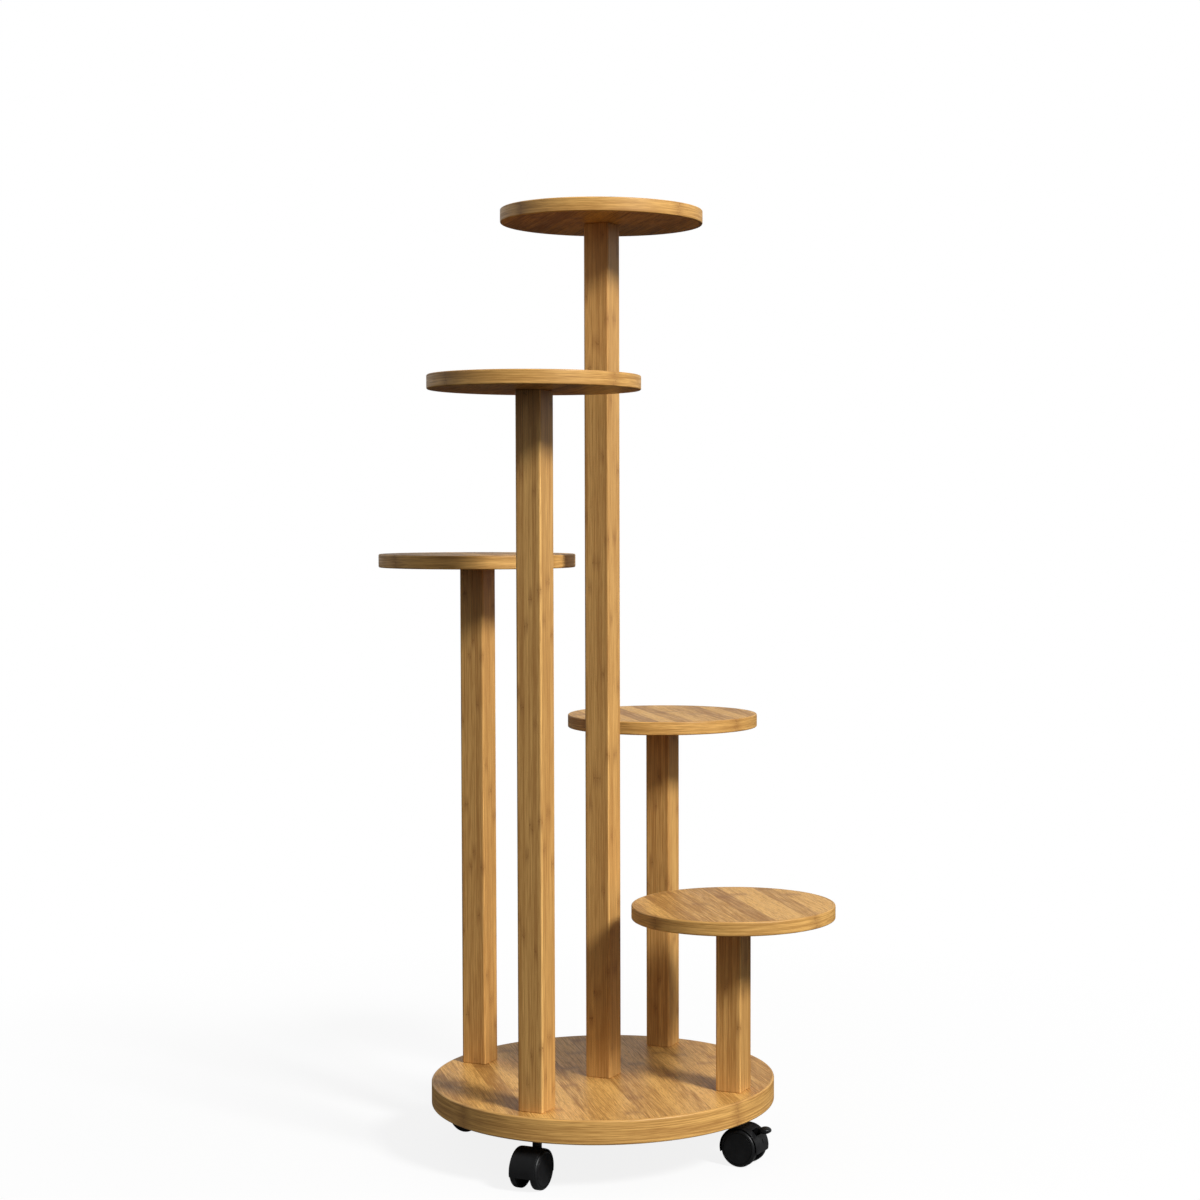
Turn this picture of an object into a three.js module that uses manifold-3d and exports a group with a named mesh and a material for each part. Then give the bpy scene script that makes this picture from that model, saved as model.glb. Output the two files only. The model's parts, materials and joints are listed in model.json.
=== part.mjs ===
// A rolling plant stand: a round bamboo base on four twin-wheel casters, and five square posts
// of stepped height that each carry a round tray. Millimetres, +Z up, origin on the floor
// under the centre post.
import * as THREE from "three";
import { mergeVertices } from "three/addons/utils/BufferGeometryUtils.js";
import Module from "manifold-3d";

const wasm = await Module();
wasm.setup();

// Driving dimensions

const CASTER_HEIGHT = 55; // floor to the underside of the base
const BASE_RADIUS = 191;
const BASE_THICKNESS = 26;
const TRAY_RADIUS = 111;
const TRAY_THICKNESS = 15;
const BAND_THICKNESS = 3; // bamboo strip bent round each board
const GLUE_GAP = 0.1;
const BASE_EDGE_ROUND = 2;
const TRAY_EDGE_ROUND = 1.5;
const POST_SIDE = 30;
const POST_EDGE_ROUND = 2.5;
const TIER_RISE = 189; // each post is a whole number of these
const POST_CIRCLE_RADIUS = 158;

// The shortest post stands at the right, and each next one is a step taller.
const POSTS = [
  { tier: 1, x: POST_CIRCLE_RADIUS, y: 0 },
  { tier: 2, x: 0, y: POST_CIRCLE_RADIUS },
  { tier: 3, x: -POST_CIRCLE_RADIUS, y: 0 },
  { tier: 4, x: 0, y: -POST_CIRCLE_RADIUS },
  { tier: 5, x: 0, y: 0 },
];

// heading is the way the wheels trail from the stem, in degrees about +Z.
const CASTERS = [
  { place: "right", x: POST_CIRCLE_RADIUS, y: 0, heading: -4, braked: true },
  { place: "back", x: 0, y: POST_CIRCLE_RADIUS, heading: 90, braked: false },
  { place: "left", x: -POST_CIRCLE_RADIUS, y: 0, heading: 175, braked: true },
  { place: "front", x: 0, y: -POST_CIRCLE_RADIUS, heading: -90, braked: false },
];

// Joinery: M8 fasteners, plain where the thread would be
const THREAD_RADIUS = 4;
const THREAD_HOLE_RADIUS = 4.1;
const BASE_HOLE_RADIUS = 4.5;
const INSERT_RADIUS = 5.5;
const INSERT_HOLE_RADIUS = 5.6;
const FOOT_INSERT_LENGTH = 20;
const FOOT_THREAD_LENGTH = 18; // of a stem or bolt inside the post
const TRAY_INSERT_LENGTH = 10;
const STUD_IN_POST = 25;
const STUD_IN_TRAY = 9;
const HOLE_SPARE_DEPTH = 1;
const DOWEL_RADIUS = 3;
const DOWEL_HOLE_RADIUS = 3.1;
const DOWEL_CHAMFER = 0.7;
const DOWEL_IN_BASE = 12;
const DOWEL_IN_POST = 18;
const DOWEL_OFFSET = 8.5; // from the post's axis, in X and in Y
const STEM_FLANGE_RADIUS = 7.5;
const STEM_FLANGE_RECESS_RADIUS = 8;
const STEM_FLANGE_THICKNESS = 3;
const BOLT_FLANGE_RADIUS = 9;
const BOLT_FLANGE_THICKNESS = 2;
const BOLT_HEAD_RADIUS = 7.5; // across the corners of the hexagon
const BOLT_HEAD_HEIGHT = 5;
const BOLT_HEAD_SIDES = 6;
const BOLT_RECESS_RADIUS = 11;
const BOLT_RECESS_DEPTH = 8;

// Caster, in its own frame: origin on the floor under the stem, wheels trailing towards +X
const WHEEL_RADIUS = 20.6;
const TRAIL = 13.2;
const WHEEL_INNER_FACE = 8.4; // from the caster's middle plane
const WHEEL_OUTER_FACE = 16.4;
const WHEEL_EDGE_CHAMFER = 1.8;
const WHEEL_INNER_CHAMFER = 0.5;
const RIM_THICKNESS = 2.9;
const WHEEL_DISC_THICKNESS = 3;
const HUB_RADIUS = 6.2;
const HUB_INNER_FACE = 5.1;
const WHEEL_BORE_RADIUS = 3.12;
const WHEEL_BORE_END = 14.1;
const AXLE_RADIUS = 3;
const AXLE_HOLE_RADIUS = 3.05;
const AXLE_END = 13.8;
const AXLE_CHAMFER = 0.5;
const HOOD_RADIUS = 22.9;
const HOOD_WALL = 1.1;
const HOOD_HALF_WIDTH = 14.9;
const HOOD_BACK_ANGLE = -12; // degrees from +X about the axle, where the hood ends
const HOOD_STEM_ANGLE = 195;
const WEB_START_ANGLE = 95;
const WEB_HALF_WIDTH = 4.8;
const AXLE_BOSS_RADIUS = 6;
const BOSS_RADIUS = 5;
const BOSS_TOP = 42.4;
const BOSS_BOTTOM = 28;
const NECK_RADIUS = 5;
const SWIVEL_GAP = 0.3;
const PIVOT_PIN_RADIUS = 3.2;
const PIVOT_PIN_BOTTOM = 22.5;
const PIVOT_SOCKET_RADIUS = 3.35;
const PIVOT_SOCKET_BOTTOM = 22;
const GROOVE_RADIUS = 2.5;
const GROOVE_LOW = 26;
const GROOVE_HIGH = 28.4;
const LIP_RADIUS = 2.75;
const LIP_LOW = 26.5;
const LIP_HIGH = 27.9;

// Brake lever and the hood's openings for it: angles in degrees about the axle
const LEVER_PIVOT = { radius: 14.2, angle: 42 };
const LEVER_TOE = { radius: 13.9, angle: 78 };
const LEVER_ELBOW = { radius: 25.8, angle: 50.8 };
const LEVER_HALF_WIDTH = 2.7;
const LEVER_THICKNESS = 3.6;
const LEVER_HUB_RADIUS = 2.8;
const PAD_CENTRE = { radius: 32.2, angle: 37.7 };
const PAD_HALF_LENGTH = 7.2;
const PAD_HALF_THICKNESS = 3.6;
const PAD_HALF_WIDTH = 6.5;
const TRUNNION_RADIUS = 1.5;
const TRUNNION_HOLE_RADIUS = 1.65;
const TRUNNION_END = 4.6;
const BRAKE_BAR_RADIUS = 1.2;
const BRAKE_BAR_END = 11;
const EAR_INNER_FACE = 3;
const EAR_RADIUS = 3.2;
const EAR_LOW_ANGLE = 8;
const EAR_HIGH_ANGLE = 26;
const EAR_ROUND_START = 60;
const EAR_ROUND_END = 240;
const WINDOW = { from: 37, to: 57, halfWidth: 6.5 };
const SMALL_SLOT = { from: 11, to: 23, halfWidth: 0.8, middle: 2.1 };

// Facets round each turned shape
const BASE_SEGMENTS = 56;
const TRAY_SEGMENTS = 36;
const WHEEL_SEGMENTS = 28;
const ROD_SEGMENTS = 12;
const HOOD_SEGMENTS = 12;
const DOWEL_SEGMENTS = 10;
const POST_CORNER_SEGMENTS = 3;
const LEVER_SEGMENTS = 5;
const CUT_MARGIN = 1; // how far a cutting tool runs past the surface it opens
const WELD_DISTANCE = 1e-4;

// Heights that follow
const AXLE_HEIGHT = WHEEL_RADIUS;
const BASE_TOP = CASTER_HEIGHT + BASE_THICKNESS;
const HOOD_INNER_RADIUS = HOOD_RADIUS - HOOD_WALL;

// Materials

const bamboo = new THREE.MeshStandardMaterial({
  color: 0xb98545,
  roughness: 0.55,
  metalness: 0,
});
const beech = new THREE.MeshStandardMaterial({
  color: 0xd9b98a,
  roughness: 0.7,
  metalness: 0,
});
const zincSteel = new THREE.MeshStandardMaterial({
  color: 0xb4b7ba,
  roughness: 0.35,
  metalness: 1,
});
const brass = new THREE.MeshStandardMaterial({
  color: 0xc9a35a,
  roughness: 0.4,
  metalness: 1,
});
const blackSteel = new THREE.MeshStandardMaterial({
  color: 0x121213,
  roughness: 0.4,
  metalness: 0.6,
});
const blackNylon = new THREE.MeshStandardMaterial({
  color: 0x1a1a1b,
  roughness: 0.5,
  metalness: 0,
});

// Solids: joins and cuts are made on merged, closed meshes

function solidOf(geometry) {
  const bare = geometry.clone();
  bare.deleteAttribute("normal");
  bare.deleteAttribute("uv");
  const merged = mergeVertices(bare, WELD_DISTANCE);
  return new wasm.Manifold(
    new wasm.Mesh({
      numProp: 3,
      vertProperties: new Float32Array(merged.attributes.position.array),
      triVerts: new Uint32Array(merged.index.array),
    }),
  );
}

function geometryOf(solid) {
  const mesh = solid.getMesh();
  const indexed = new THREE.BufferGeometry();
  indexed.setAttribute(
    "position",
    new THREE.BufferAttribute(new Float32Array(mesh.vertProperties), 3),
  );
  indexed.setIndex(new THREE.BufferAttribute(new Uint32Array(mesh.triVerts), 1));
  const flat = indexed.toNonIndexed();
  flat.computeVertexNormals();
  return flat;
}

function cut(geometry, tools) {
  const body = tools.reduce((left, tool) => left.subtract(solidOf(tool)), solidOf(geometry));
  return geometryOf(body);
}

function join(geometries) {
  const [first, ...others] = geometries.map(solidOf);
  return geometryOf(others.reduce((whole, next) => whole.add(next), first));
}

// A round bar along Z from low to high.
function rod(radius, low, high, segments = ROD_SEGMENTS) {
  return new THREE.CylinderGeometry(radius, radius, high - low, segments)
    .rotateX(Math.PI / 2)
    .translate(0, 0, (low + high) / 2);
}

// A profile of [radius, height] points turned about Z, listed from the bottom up the outside.
function turned(profile, segments) {
  const points = profile.map(([radius, height]) => new THREE.Vector2(radius, height));
  return new THREE.LatheGeometry(points, segments).rotateX(Math.PI / 2);
}

// A profile of [radius, width] points turned about Y.
function turnedAcross(profile, segments) {
  return turned(profile, segments).rotateX(-Math.PI / 2);
}

// A shape drawn in X and Z, as thick as from one Y to the other.
function plate(shape, fromY, toY, curveSegments = 6) {
  return new THREE.ExtrudeGeometry(shape, {
    depth: toY - fromY,
    bevelEnabled: false,
    curveSegments,
  })
    .rotateX(Math.PI / 2)
    .translate(0, toY, 0);
}

const radians = THREE.MathUtils.degToRad;

// A point at a radius and an angle from the axle, in the caster's X and Z.
function aboutAxle(radius, angle) {
  return new THREE.Vector2(
    TRAIL + radius * Math.cos(radians(angle)),
    AXLE_HEIGHT + radius * Math.sin(radians(angle)),
  );
}

// A ring segment about the axle. An inner radius of 0 gives a wedge.
function sector(inner, outer, fromAngle, toAngle) {
  const shape = new THREE.Shape();
  const from = radians(fromAngle);
  const to = radians(toAngle);
  shape.absarc(TRAIL, AXLE_HEIGHT, outer, from, to, false);
  if (inner > 0) shape.absarc(TRAIL, AXLE_HEIGHT, inner, to, from, true);
  else shape.lineTo(TRAIL, AXLE_HEIGHT);
  shape.closePath();
  return shape;
}

// A bar across the caster, along Y, centred at a point of its X and Z.
function crossBar(centre, radius, halfWidth, segments = DOWEL_SEGMENTS) {
  return new THREE.CylinderGeometry(radius, radius, 2 * halfWidth, segments).translate(
    centre.x,
    0,
    centre.y,
  );
}

// Boards, bands and posts

function board(radius, thickness, underside, segments) {
  return rod(radius - BAND_THICKNESS - GLUE_GAP, underside, underside + thickness, segments);
}

function edgeBand(radius, thickness, underside, round, segments) {
  const inner = radius - BAND_THICKNESS;
  const top = underside + thickness;
  return turned(
    [
      [inner, underside],
      [radius - round, underside],
      [radius, underside + round],
      [radius, top - round],
      [radius - round, top],
      [inner, top],
      [inner, underside],
    ],
    segments,
  );
}

function trayUnderside(tier) {
  return BASE_TOP + tier * TIER_RISE;
}

function baseBoard() {
  const under = CASTER_HEIGHT;
  const tools = [];
  for (const { tier, x, y } of POSTS) {
    const isCentre = tier === POSTS.length;
    const recessRadius = isCentre ? BOLT_RECESS_RADIUS : STEM_FLANGE_RECESS_RADIUS;
    const recessDepth = isCentre ? BOLT_RECESS_DEPTH : STEM_FLANGE_THICKNESS;
    tools.push(
      rod(BASE_HOLE_RADIUS, under - CUT_MARGIN, BASE_TOP + CUT_MARGIN).translate(x, y, 0),
      rod(recessRadius, under - CUT_MARGIN, under + recessDepth).translate(x, y, 0),
      rod(
        DOWEL_HOLE_RADIUS,
        BASE_TOP - DOWEL_IN_BASE - HOLE_SPARE_DEPTH,
        BASE_TOP + CUT_MARGIN,
        DOWEL_SEGMENTS,
      ).translate(x + DOWEL_OFFSET, y + DOWEL_OFFSET, 0),
    );
  }
  return cut(board(BASE_RADIUS, BASE_THICKNESS, under, BASE_SEGMENTS), tools);
}

function trayBoard(tier) {
  const under = trayUnderside(tier);
  const hole = rod(
    INSERT_HOLE_RADIUS,
    under - CUT_MARGIN,
    under + TRAY_INSERT_LENGTH + HOLE_SPARE_DEPTH,
  );
  return cut(board(TRAY_RADIUS, TRAY_THICKNESS, under, TRAY_SEGMENTS), [hole]);
}

function roundedSquare(side, round) {
  const flat = side / 2 - round;
  const shape = new THREE.Shape();
  shape.absarc(flat, flat, round, 0, Math.PI / 2, false);
  shape.absarc(-flat, flat, round, Math.PI / 2, Math.PI, false);
  shape.absarc(-flat, -flat, round, Math.PI, 1.5 * Math.PI, false);
  shape.absarc(flat, -flat, round, 1.5 * Math.PI, 2 * Math.PI, false);
  return shape;
}

function post(tier) {
  const top = trayUnderside(tier);
  const bar = new THREE.ExtrudeGeometry(roundedSquare(POST_SIDE, POST_EDGE_ROUND), {
    depth: top - BASE_TOP,
    bevelEnabled: false,
    curveSegments: POST_CORNER_SEGMENTS,
  }).translate(0, 0, BASE_TOP);
  const insertHole = rod(
    INSERT_HOLE_RADIUS,
    BASE_TOP - CUT_MARGIN,
    BASE_TOP + FOOT_INSERT_LENGTH + HOLE_SPARE_DEPTH,
  );
  const dowelHole = rod(
    DOWEL_HOLE_RADIUS,
    BASE_TOP - CUT_MARGIN,
    BASE_TOP + DOWEL_IN_POST + HOLE_SPARE_DEPTH,
    DOWEL_SEGMENTS,
  ).translate(DOWEL_OFFSET, DOWEL_OFFSET, 0);
  const studHole = rod(
    THREAD_HOLE_RADIUS,
    top - STUD_IN_POST - HOLE_SPARE_DEPTH,
    top + CUT_MARGIN,
  );
  return cut(bar, [insertHole, dowelHole, studHole]);
}

// Hidden joinery

function threadedInsert(low, length) {
  return turned(
    [
      [THREAD_HOLE_RADIUS, low],
      [INSERT_RADIUS, low],
      [INSERT_RADIUS, low + length],
      [THREAD_HOLE_RADIUS, low + length],
      [THREAD_HOLE_RADIUS, low],
    ],
    ROD_SEGMENTS,
  );
}

function dowel() {
  const low = BASE_TOP - DOWEL_IN_BASE;
  const high = BASE_TOP + DOWEL_IN_POST;
  return turned(
    [
      [0, low],
      [DOWEL_RADIUS - DOWEL_CHAMFER, low],
      [DOWEL_RADIUS, low + DOWEL_CHAMFER],
      [DOWEL_RADIUS, high - DOWEL_CHAMFER],
      [DOWEL_RADIUS - DOWEL_CHAMFER, high],
      [0, high],
    ],
    DOWEL_SEGMENTS,
  ).translate(DOWEL_OFFSET, DOWEL_OFFSET, 0);
}

function trayStud(tier) {
  const under = trayUnderside(tier);
  return rod(THREAD_RADIUS, under - STUD_IN_POST, under + STUD_IN_TRAY);
}

function centreBolt() {
  const flangeTop = CASTER_HEIGHT + BOLT_RECESS_DEPTH;
  const flangeBottom = flangeTop - BOLT_FLANGE_THICKNESS;
  const headBottom = flangeBottom - BOLT_HEAD_HEIGHT;
  const head = rod(BOLT_HEAD_RADIUS, headBottom, flangeBottom, BOLT_HEAD_SIDES);
  const flange = rod(BOLT_FLANGE_RADIUS, flangeBottom, flangeTop);
  const shank = rod(THREAD_RADIUS, flangeBottom, BASE_TOP + FOOT_THREAD_LENGTH);
  return join([flange, head, shank]);
}

// Caster pieces

// The swivel pin hangs from the neck into the hood, and its groove takes the hood's lip.
function stem() {
  const shoulder = BOSS_TOP + SWIVEL_GAP;
  const flangeTop = CASTER_HEIGHT + STEM_FLANGE_THICKNESS;
  return turned(
    [
      [0, PIVOT_PIN_BOTTOM],
      [PIVOT_PIN_RADIUS, PIVOT_PIN_BOTTOM],
      [PIVOT_PIN_RADIUS, GROOVE_LOW],
      [GROOVE_RADIUS, GROOVE_LOW],
      [GROOVE_RADIUS, GROOVE_HIGH],
      [PIVOT_PIN_RADIUS, GROOVE_HIGH],
      [PIVOT_PIN_RADIUS, shoulder],
      [NECK_RADIUS, shoulder],
      [NECK_RADIUS, CASTER_HEIGHT],
      [STEM_FLANGE_RADIUS, CASTER_HEIGHT],
      [STEM_FLANGE_RADIUS, flangeTop],
      [THREAD_RADIUS, flangeTop],
      [THREAD_RADIUS, BASE_TOP + FOOT_THREAD_LENGTH],
      [0, BASE_TOP + FOOT_THREAD_LENGTH],
    ],
    ROD_SEGMENTS,
  );
}

function stemSocket() {
  return turned(
    [
      [0, PIVOT_SOCKET_BOTTOM],
      [PIVOT_SOCKET_RADIUS, PIVOT_SOCKET_BOTTOM],
      [PIVOT_SOCKET_RADIUS, LIP_LOW],
      [LIP_RADIUS, LIP_LOW],
      [LIP_RADIUS, LIP_HIGH],
      [PIVOT_SOCKET_RADIUS, LIP_HIGH],
      [PIVOT_SOCKET_RADIUS, BOSS_TOP + CUT_MARGIN],
      [0, BOSS_TOP + CUT_MARGIN],
    ],
    ROD_SEGMENTS,
  );
}

const axleCentre = new THREE.Vector2(TRAIL, AXLE_HEIGHT);
const leverPivot = aboutAxle(LEVER_PIVOT.radius, LEVER_PIVOT.angle);
const leverToe = aboutAxle(LEVER_TOE.radius, LEVER_TOE.angle);
const leverElbow = aboutAxle(LEVER_ELBOW.radius, LEVER_ELBOW.angle);
const padCentre = aboutAxle(PAD_CENTRE.radius, PAD_CENTRE.angle);

// One of the two ears that hold the lever's trunnions, from the hood's back wall.
function leverEar(fromY, toY) {
  const reach = HOOD_RADIUS - HOOD_WALL / 2;
  const low = aboutAxle(reach, EAR_LOW_ANGLE);
  const high = aboutAxle(reach, EAR_HIGH_ANGLE);
  const shape = new THREE.Shape();
  shape.moveTo(low.x, low.y);
  shape.lineTo(high.x, high.y);
  shape.lineTo(leverPivot.x + EAR_RADIUS, leverPivot.y + EAR_RADIUS / 2);
  shape.absarc(
    leverPivot.x,
    leverPivot.y,
    EAR_RADIUS,
    radians(EAR_ROUND_START),
    radians(EAR_ROUND_END),
    false,
  );
  shape.closePath();
  return plate(shape, fromY, toY, LEVER_SEGMENTS);
}

// A tool that opens the hood's wall between two angles.
function opening({ from, to, halfWidth, middle = 0 }) {
  return plate(
    sector(HOOD_INNER_RADIUS - CUT_MARGIN, HOOD_RADIUS + CUT_MARGIN, from, to),
    middle - halfWidth,
    middle + halfWidth,
  );
}

function hood(braked) {
  const shell = plate(
    sector(HOOD_INNER_RADIUS, HOOD_RADIUS, HOOD_BACK_ANGLE, HOOD_STEM_ANGLE),
    -HOOD_HALF_WIDTH,
    HOOD_HALF_WIDTH,
    HOOD_SEGMENTS,
  );
  const wheelRoom = crossBar(axleCentre, HOOD_INNER_RADIUS, HOOD_HALF_WIDTH, 2 * HOOD_SEGMENTS);
  const boss = cut(rod(BOSS_RADIUS, BOSS_BOTTOM, BOSS_TOP), [wheelRoom]);
  const web = plate(
    sector(0, HOOD_RADIUS - HOOD_WALL / 2, WEB_START_ANGLE, HOOD_STEM_ANGLE),
    -WEB_HALF_WIDTH,
    WEB_HALF_WIDTH,
    HOOD_SEGMENTS / 2,
  );
  const axleBoss = crossBar(axleCentre, AXLE_BOSS_RADIUS, WEB_HALF_WIDTH, ROD_SEGMENTS);
  const axleHole = crossBar(axleCentre, AXLE_HOLE_RADIUS, HOOD_HALF_WIDTH);
  const parts = [shell, boss, web, axleBoss];
  const tools = [stemSocket(), axleHole];
  if (braked) {
    parts.push(leverEar(EAR_INNER_FACE, WEB_HALF_WIDTH));
    parts.push(leverEar(-WEB_HALF_WIDTH, -EAR_INNER_FACE));
    tools.push(crossBar(leverPivot, TRUNNION_HOLE_RADIUS, HOOD_HALF_WIDTH));
    tools.push(opening(WINDOW), opening(SMALL_SLOT));
  }
  return cut(join(parts), tools);
}

function axle() {
  return turnedAcross(
    [
      [0, -AXLE_END],
      [AXLE_RADIUS - AXLE_CHAMFER, -AXLE_END],
      [AXLE_RADIUS, AXLE_CHAMFER - AXLE_END],
      [AXLE_RADIUS, AXLE_END - AXLE_CHAMFER],
      [AXLE_RADIUS - AXLE_CHAMFER, AXLE_END],
      [0, AXLE_END],
    ],
    DOWEL_SEGMENTS,
  ).translate(TRAIL, 0, AXLE_HEIGHT);
}

// A cup with its rim and hub towards the caster's middle and a closed face outside.
function wheel() {
  const rimInside = WHEEL_RADIUS - RIM_THICKNESS;
  const discInside = WHEEL_OUTER_FACE - WHEEL_DISC_THICKNESS;
  return turnedAcross(
    [
      [0, WHEEL_BORE_END],
      [WHEEL_BORE_RADIUS, WHEEL_BORE_END],
      [WHEEL_BORE_RADIUS, HUB_INNER_FACE],
      [HUB_RADIUS, HUB_INNER_FACE],
      [HUB_RADIUS, discInside],
      [rimInside, discInside],
      [rimInside, WHEEL_INNER_FACE],
      [WHEEL_RADIUS - WHEEL_INNER_CHAMFER, WHEEL_INNER_FACE],
      [WHEEL_RADIUS, WHEEL_INNER_FACE + WHEEL_INNER_CHAMFER],
      [WHEEL_RADIUS, WHEEL_OUTER_FACE - WHEEL_EDGE_CHAMFER],
      [WHEEL_RADIUS - WHEEL_EDGE_CHAMFER, WHEEL_OUTER_FACE],
      [0, WHEEL_OUTER_FACE],
    ],
    WHEEL_SEGMENTS,
  );
}

// A straight arm of the lever between two points.
function leverArm(start, end) {
  const reach = end.clone().sub(start);
  const side = new THREE.Vector2(-reach.y, reach.x).setLength(LEVER_THICKNESS / 2);
  const shape = new THREE.Shape([
    start.clone().add(side),
    start.clone().sub(side),
    end.clone().sub(side),
    end.clone().add(side),
  ]);
  return plate(shape, -LEVER_HALF_WIDTH, LEVER_HALF_WIDTH);
}

// The foot pad outside the hood, a leaf seen from the side.
function leverPad() {
  const { x, y } = padCentre;
  const shape = new THREE.Shape();
  shape.moveTo(x - PAD_HALF_LENGTH, y);
  shape.quadraticCurveTo(x, y - 2 * PAD_HALF_THICKNESS, x + PAD_HALF_LENGTH, y);
  shape.quadraticCurveTo(x, y + 2 * PAD_HALF_THICKNESS, x - PAD_HALF_LENGTH, y);
  return plate(shape, -PAD_HALF_WIDTH, PAD_HALF_WIDTH, LEVER_SEGMENTS);
}

// The lever runs from the brake bar past the trunnions, up through the hood's window and out
// to the pad.
function brakeLever() {
  return join([
    leverArm(leverToe, leverPivot),
    leverArm(leverPivot, leverElbow),
    leverArm(leverElbow, padCentre),
    leverPad(),
    crossBar(leverElbow, LEVER_THICKNESS / 2, LEVER_HALF_WIDTH),
    crossBar(leverPivot, LEVER_HUB_RADIUS, LEVER_HALF_WIDTH),
    crossBar(leverPivot, TRUNNION_RADIUS, TRUNNION_END),
    crossBar(leverToe, BRAKE_BAR_RADIUS, BRAKE_BAR_END),
  ]);
}

// Assembly

function piece(group, name, geometry, material, x = 0, y = 0) {
  const mesh = new THREE.Mesh(geometry, material);
  mesh.name = name;
  mesh.position.set(x, y, 0);
  group.add(mesh);
  return mesh;
}

function addPost(group, { tier, x, y }) {
  const under = trayUnderside(tier);
  const band = edgeBand(TRAY_RADIUS, TRAY_THICKNESS, under, TRAY_EDGE_ROUND, TRAY_SEGMENTS);
  piece(group, `post_${tier}`, post(tier), bamboo, x, y);
  piece(group, `tray_${tier}`, trayBoard(tier), bamboo, x, y);
  piece(group, `tray_edge_band_${tier}`, band, bamboo, x, y);
  piece(group, `foot_insert_${tier}`, threadedInsert(BASE_TOP, FOOT_INSERT_LENGTH), brass, x, y);
  piece(group, `foot_dowel_${tier}`, dowel(), beech, x, y);
  piece(group, `tray_stud_${tier}`, trayStud(tier), zincSteel, x, y);
  piece(group, `tray_insert_${tier}`, threadedInsert(under, TRAY_INSERT_LENGTH), brass, x, y);
}

function addCaster(group, { place, x, y, heading, braked }) {
  piece(group, `stem_${place}`, stem(), blackSteel, x, y);
  const swivel = new THREE.Group();
  swivel.position.set(x, y, 0);
  swivel.rotation.z = radians(heading);
  piece(swivel, `hood_${place}`, hood(braked), blackNylon);
  piece(swivel, `axle_${place}`, axle(), zincSteel);
  for (const [side, turn] of [
    ["a", Math.PI],
    ["b", 0],
  ]) {
    const mesh = piece(swivel, `wheel_${place}_${side}`, wheel(), blackNylon);
    mesh.position.set(TRAIL, 0, AXLE_HEIGHT);
    mesh.rotation.x = turn;
  }
  if (braked) piece(swivel, `brake_lever_${place}`, brakeLever(), blackNylon);
  group.add(swivel);
}

const stand = new THREE.Group();
const baseBand = edgeBand(
  BASE_RADIUS,
  BASE_THICKNESS,
  CASTER_HEIGHT,
  BASE_EDGE_ROUND,
  BASE_SEGMENTS,
);
piece(stand, "base_board", baseBoard(), bamboo);
piece(stand, "base_edge_band", baseBand, bamboo);
piece(stand, "centre_bolt", centreBolt(), zincSteel);
POSTS.forEach((place) => addPost(stand, place));
CASTERS.forEach((place) => addCaster(stand, place));

export default stand;
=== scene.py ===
import json
import math

import bmesh
import bpy
from mathutils import Matrix, Vector


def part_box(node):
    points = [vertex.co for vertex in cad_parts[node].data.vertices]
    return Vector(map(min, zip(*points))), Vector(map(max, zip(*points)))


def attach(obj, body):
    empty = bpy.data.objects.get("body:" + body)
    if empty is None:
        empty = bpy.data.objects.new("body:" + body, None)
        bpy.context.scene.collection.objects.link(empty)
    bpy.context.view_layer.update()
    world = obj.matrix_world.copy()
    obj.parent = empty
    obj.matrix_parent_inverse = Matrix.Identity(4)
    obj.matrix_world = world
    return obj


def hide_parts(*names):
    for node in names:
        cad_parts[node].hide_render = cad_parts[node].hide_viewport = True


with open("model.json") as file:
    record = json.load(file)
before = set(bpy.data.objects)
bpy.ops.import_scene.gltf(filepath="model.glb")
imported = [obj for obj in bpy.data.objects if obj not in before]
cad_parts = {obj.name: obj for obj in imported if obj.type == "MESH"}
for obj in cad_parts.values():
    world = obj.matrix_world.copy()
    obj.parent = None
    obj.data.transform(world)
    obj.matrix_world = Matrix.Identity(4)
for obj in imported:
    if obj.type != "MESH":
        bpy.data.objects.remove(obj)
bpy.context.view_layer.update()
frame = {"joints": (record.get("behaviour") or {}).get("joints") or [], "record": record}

MM = 0.001
PLACES = ("right", "back", "left", "front")
BRAKED = ("right", "left")
TIERS = (1, 2, 3, 4, 5)

# Boards and joinery
BASE_EDGE_ROUND = 2 * MM
TRAY_EDGE_ROUND = 1.5 * MM
BAND_GAP = 0.1 * MM  # between a board and the band bent round it
POST_EDGE_ROUND = 2.5 * MM
POST_END_EASE = 0.8 * MM
THREAD_RADIUS = 4 * MM
THREAD_PITCH = 1.25 * MM
THREAD_DEPTH = 0.6 * MM
THREAD_HOLE_RADIUS = 4.1 * MM
BASE_HOLE_RADIUS = 4.5 * MM
INSERT_HOLE_RADIUS = 5.6 * MM
INSERT_PITCH = 2.5 * MM
INSERT_THREAD_DEPTH = 0.7 * MM
HOLE_SPARE_DEPTH = 1 * MM
DOWEL_HOLE_RADIUS = 3.1 * MM
DOWEL_RADIUS = 3 * MM
DOWEL_EDGE_ROUND = 0.7 * MM
DOWEL_FLUTES = 12
DOWEL_FLUTE_DEPTH = 0.25 * MM
STEM_FLANGE_RADIUS = 7.5 * MM
STEM_FLANGE_LOW_ROUND = 0.4 * MM
STEM_FLANGE_HIGH_ROUND = 0.2 * MM
STEM_PLAIN_LENGTH = 2 * MM
STEM_RECESS_RADIUS = 8 * MM
STEM_RECESS_DEPTH = 3 * MM
BOLT_FLANGE_RADIUS = 9 * MM
BOLT_FLANGE_THICKNESS = 2 * MM
BOLT_FLANGE_LOW_ROUND = 0.8 * MM
BOLT_FLANGE_HIGH_ROUND = 0.4 * MM
BOLT_HEAD_RADIUS = 7.5 * MM
BOLT_HEAD_SIDES = 6
BOLT_HEAD_OVERLAP = 0.5 * MM
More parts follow.
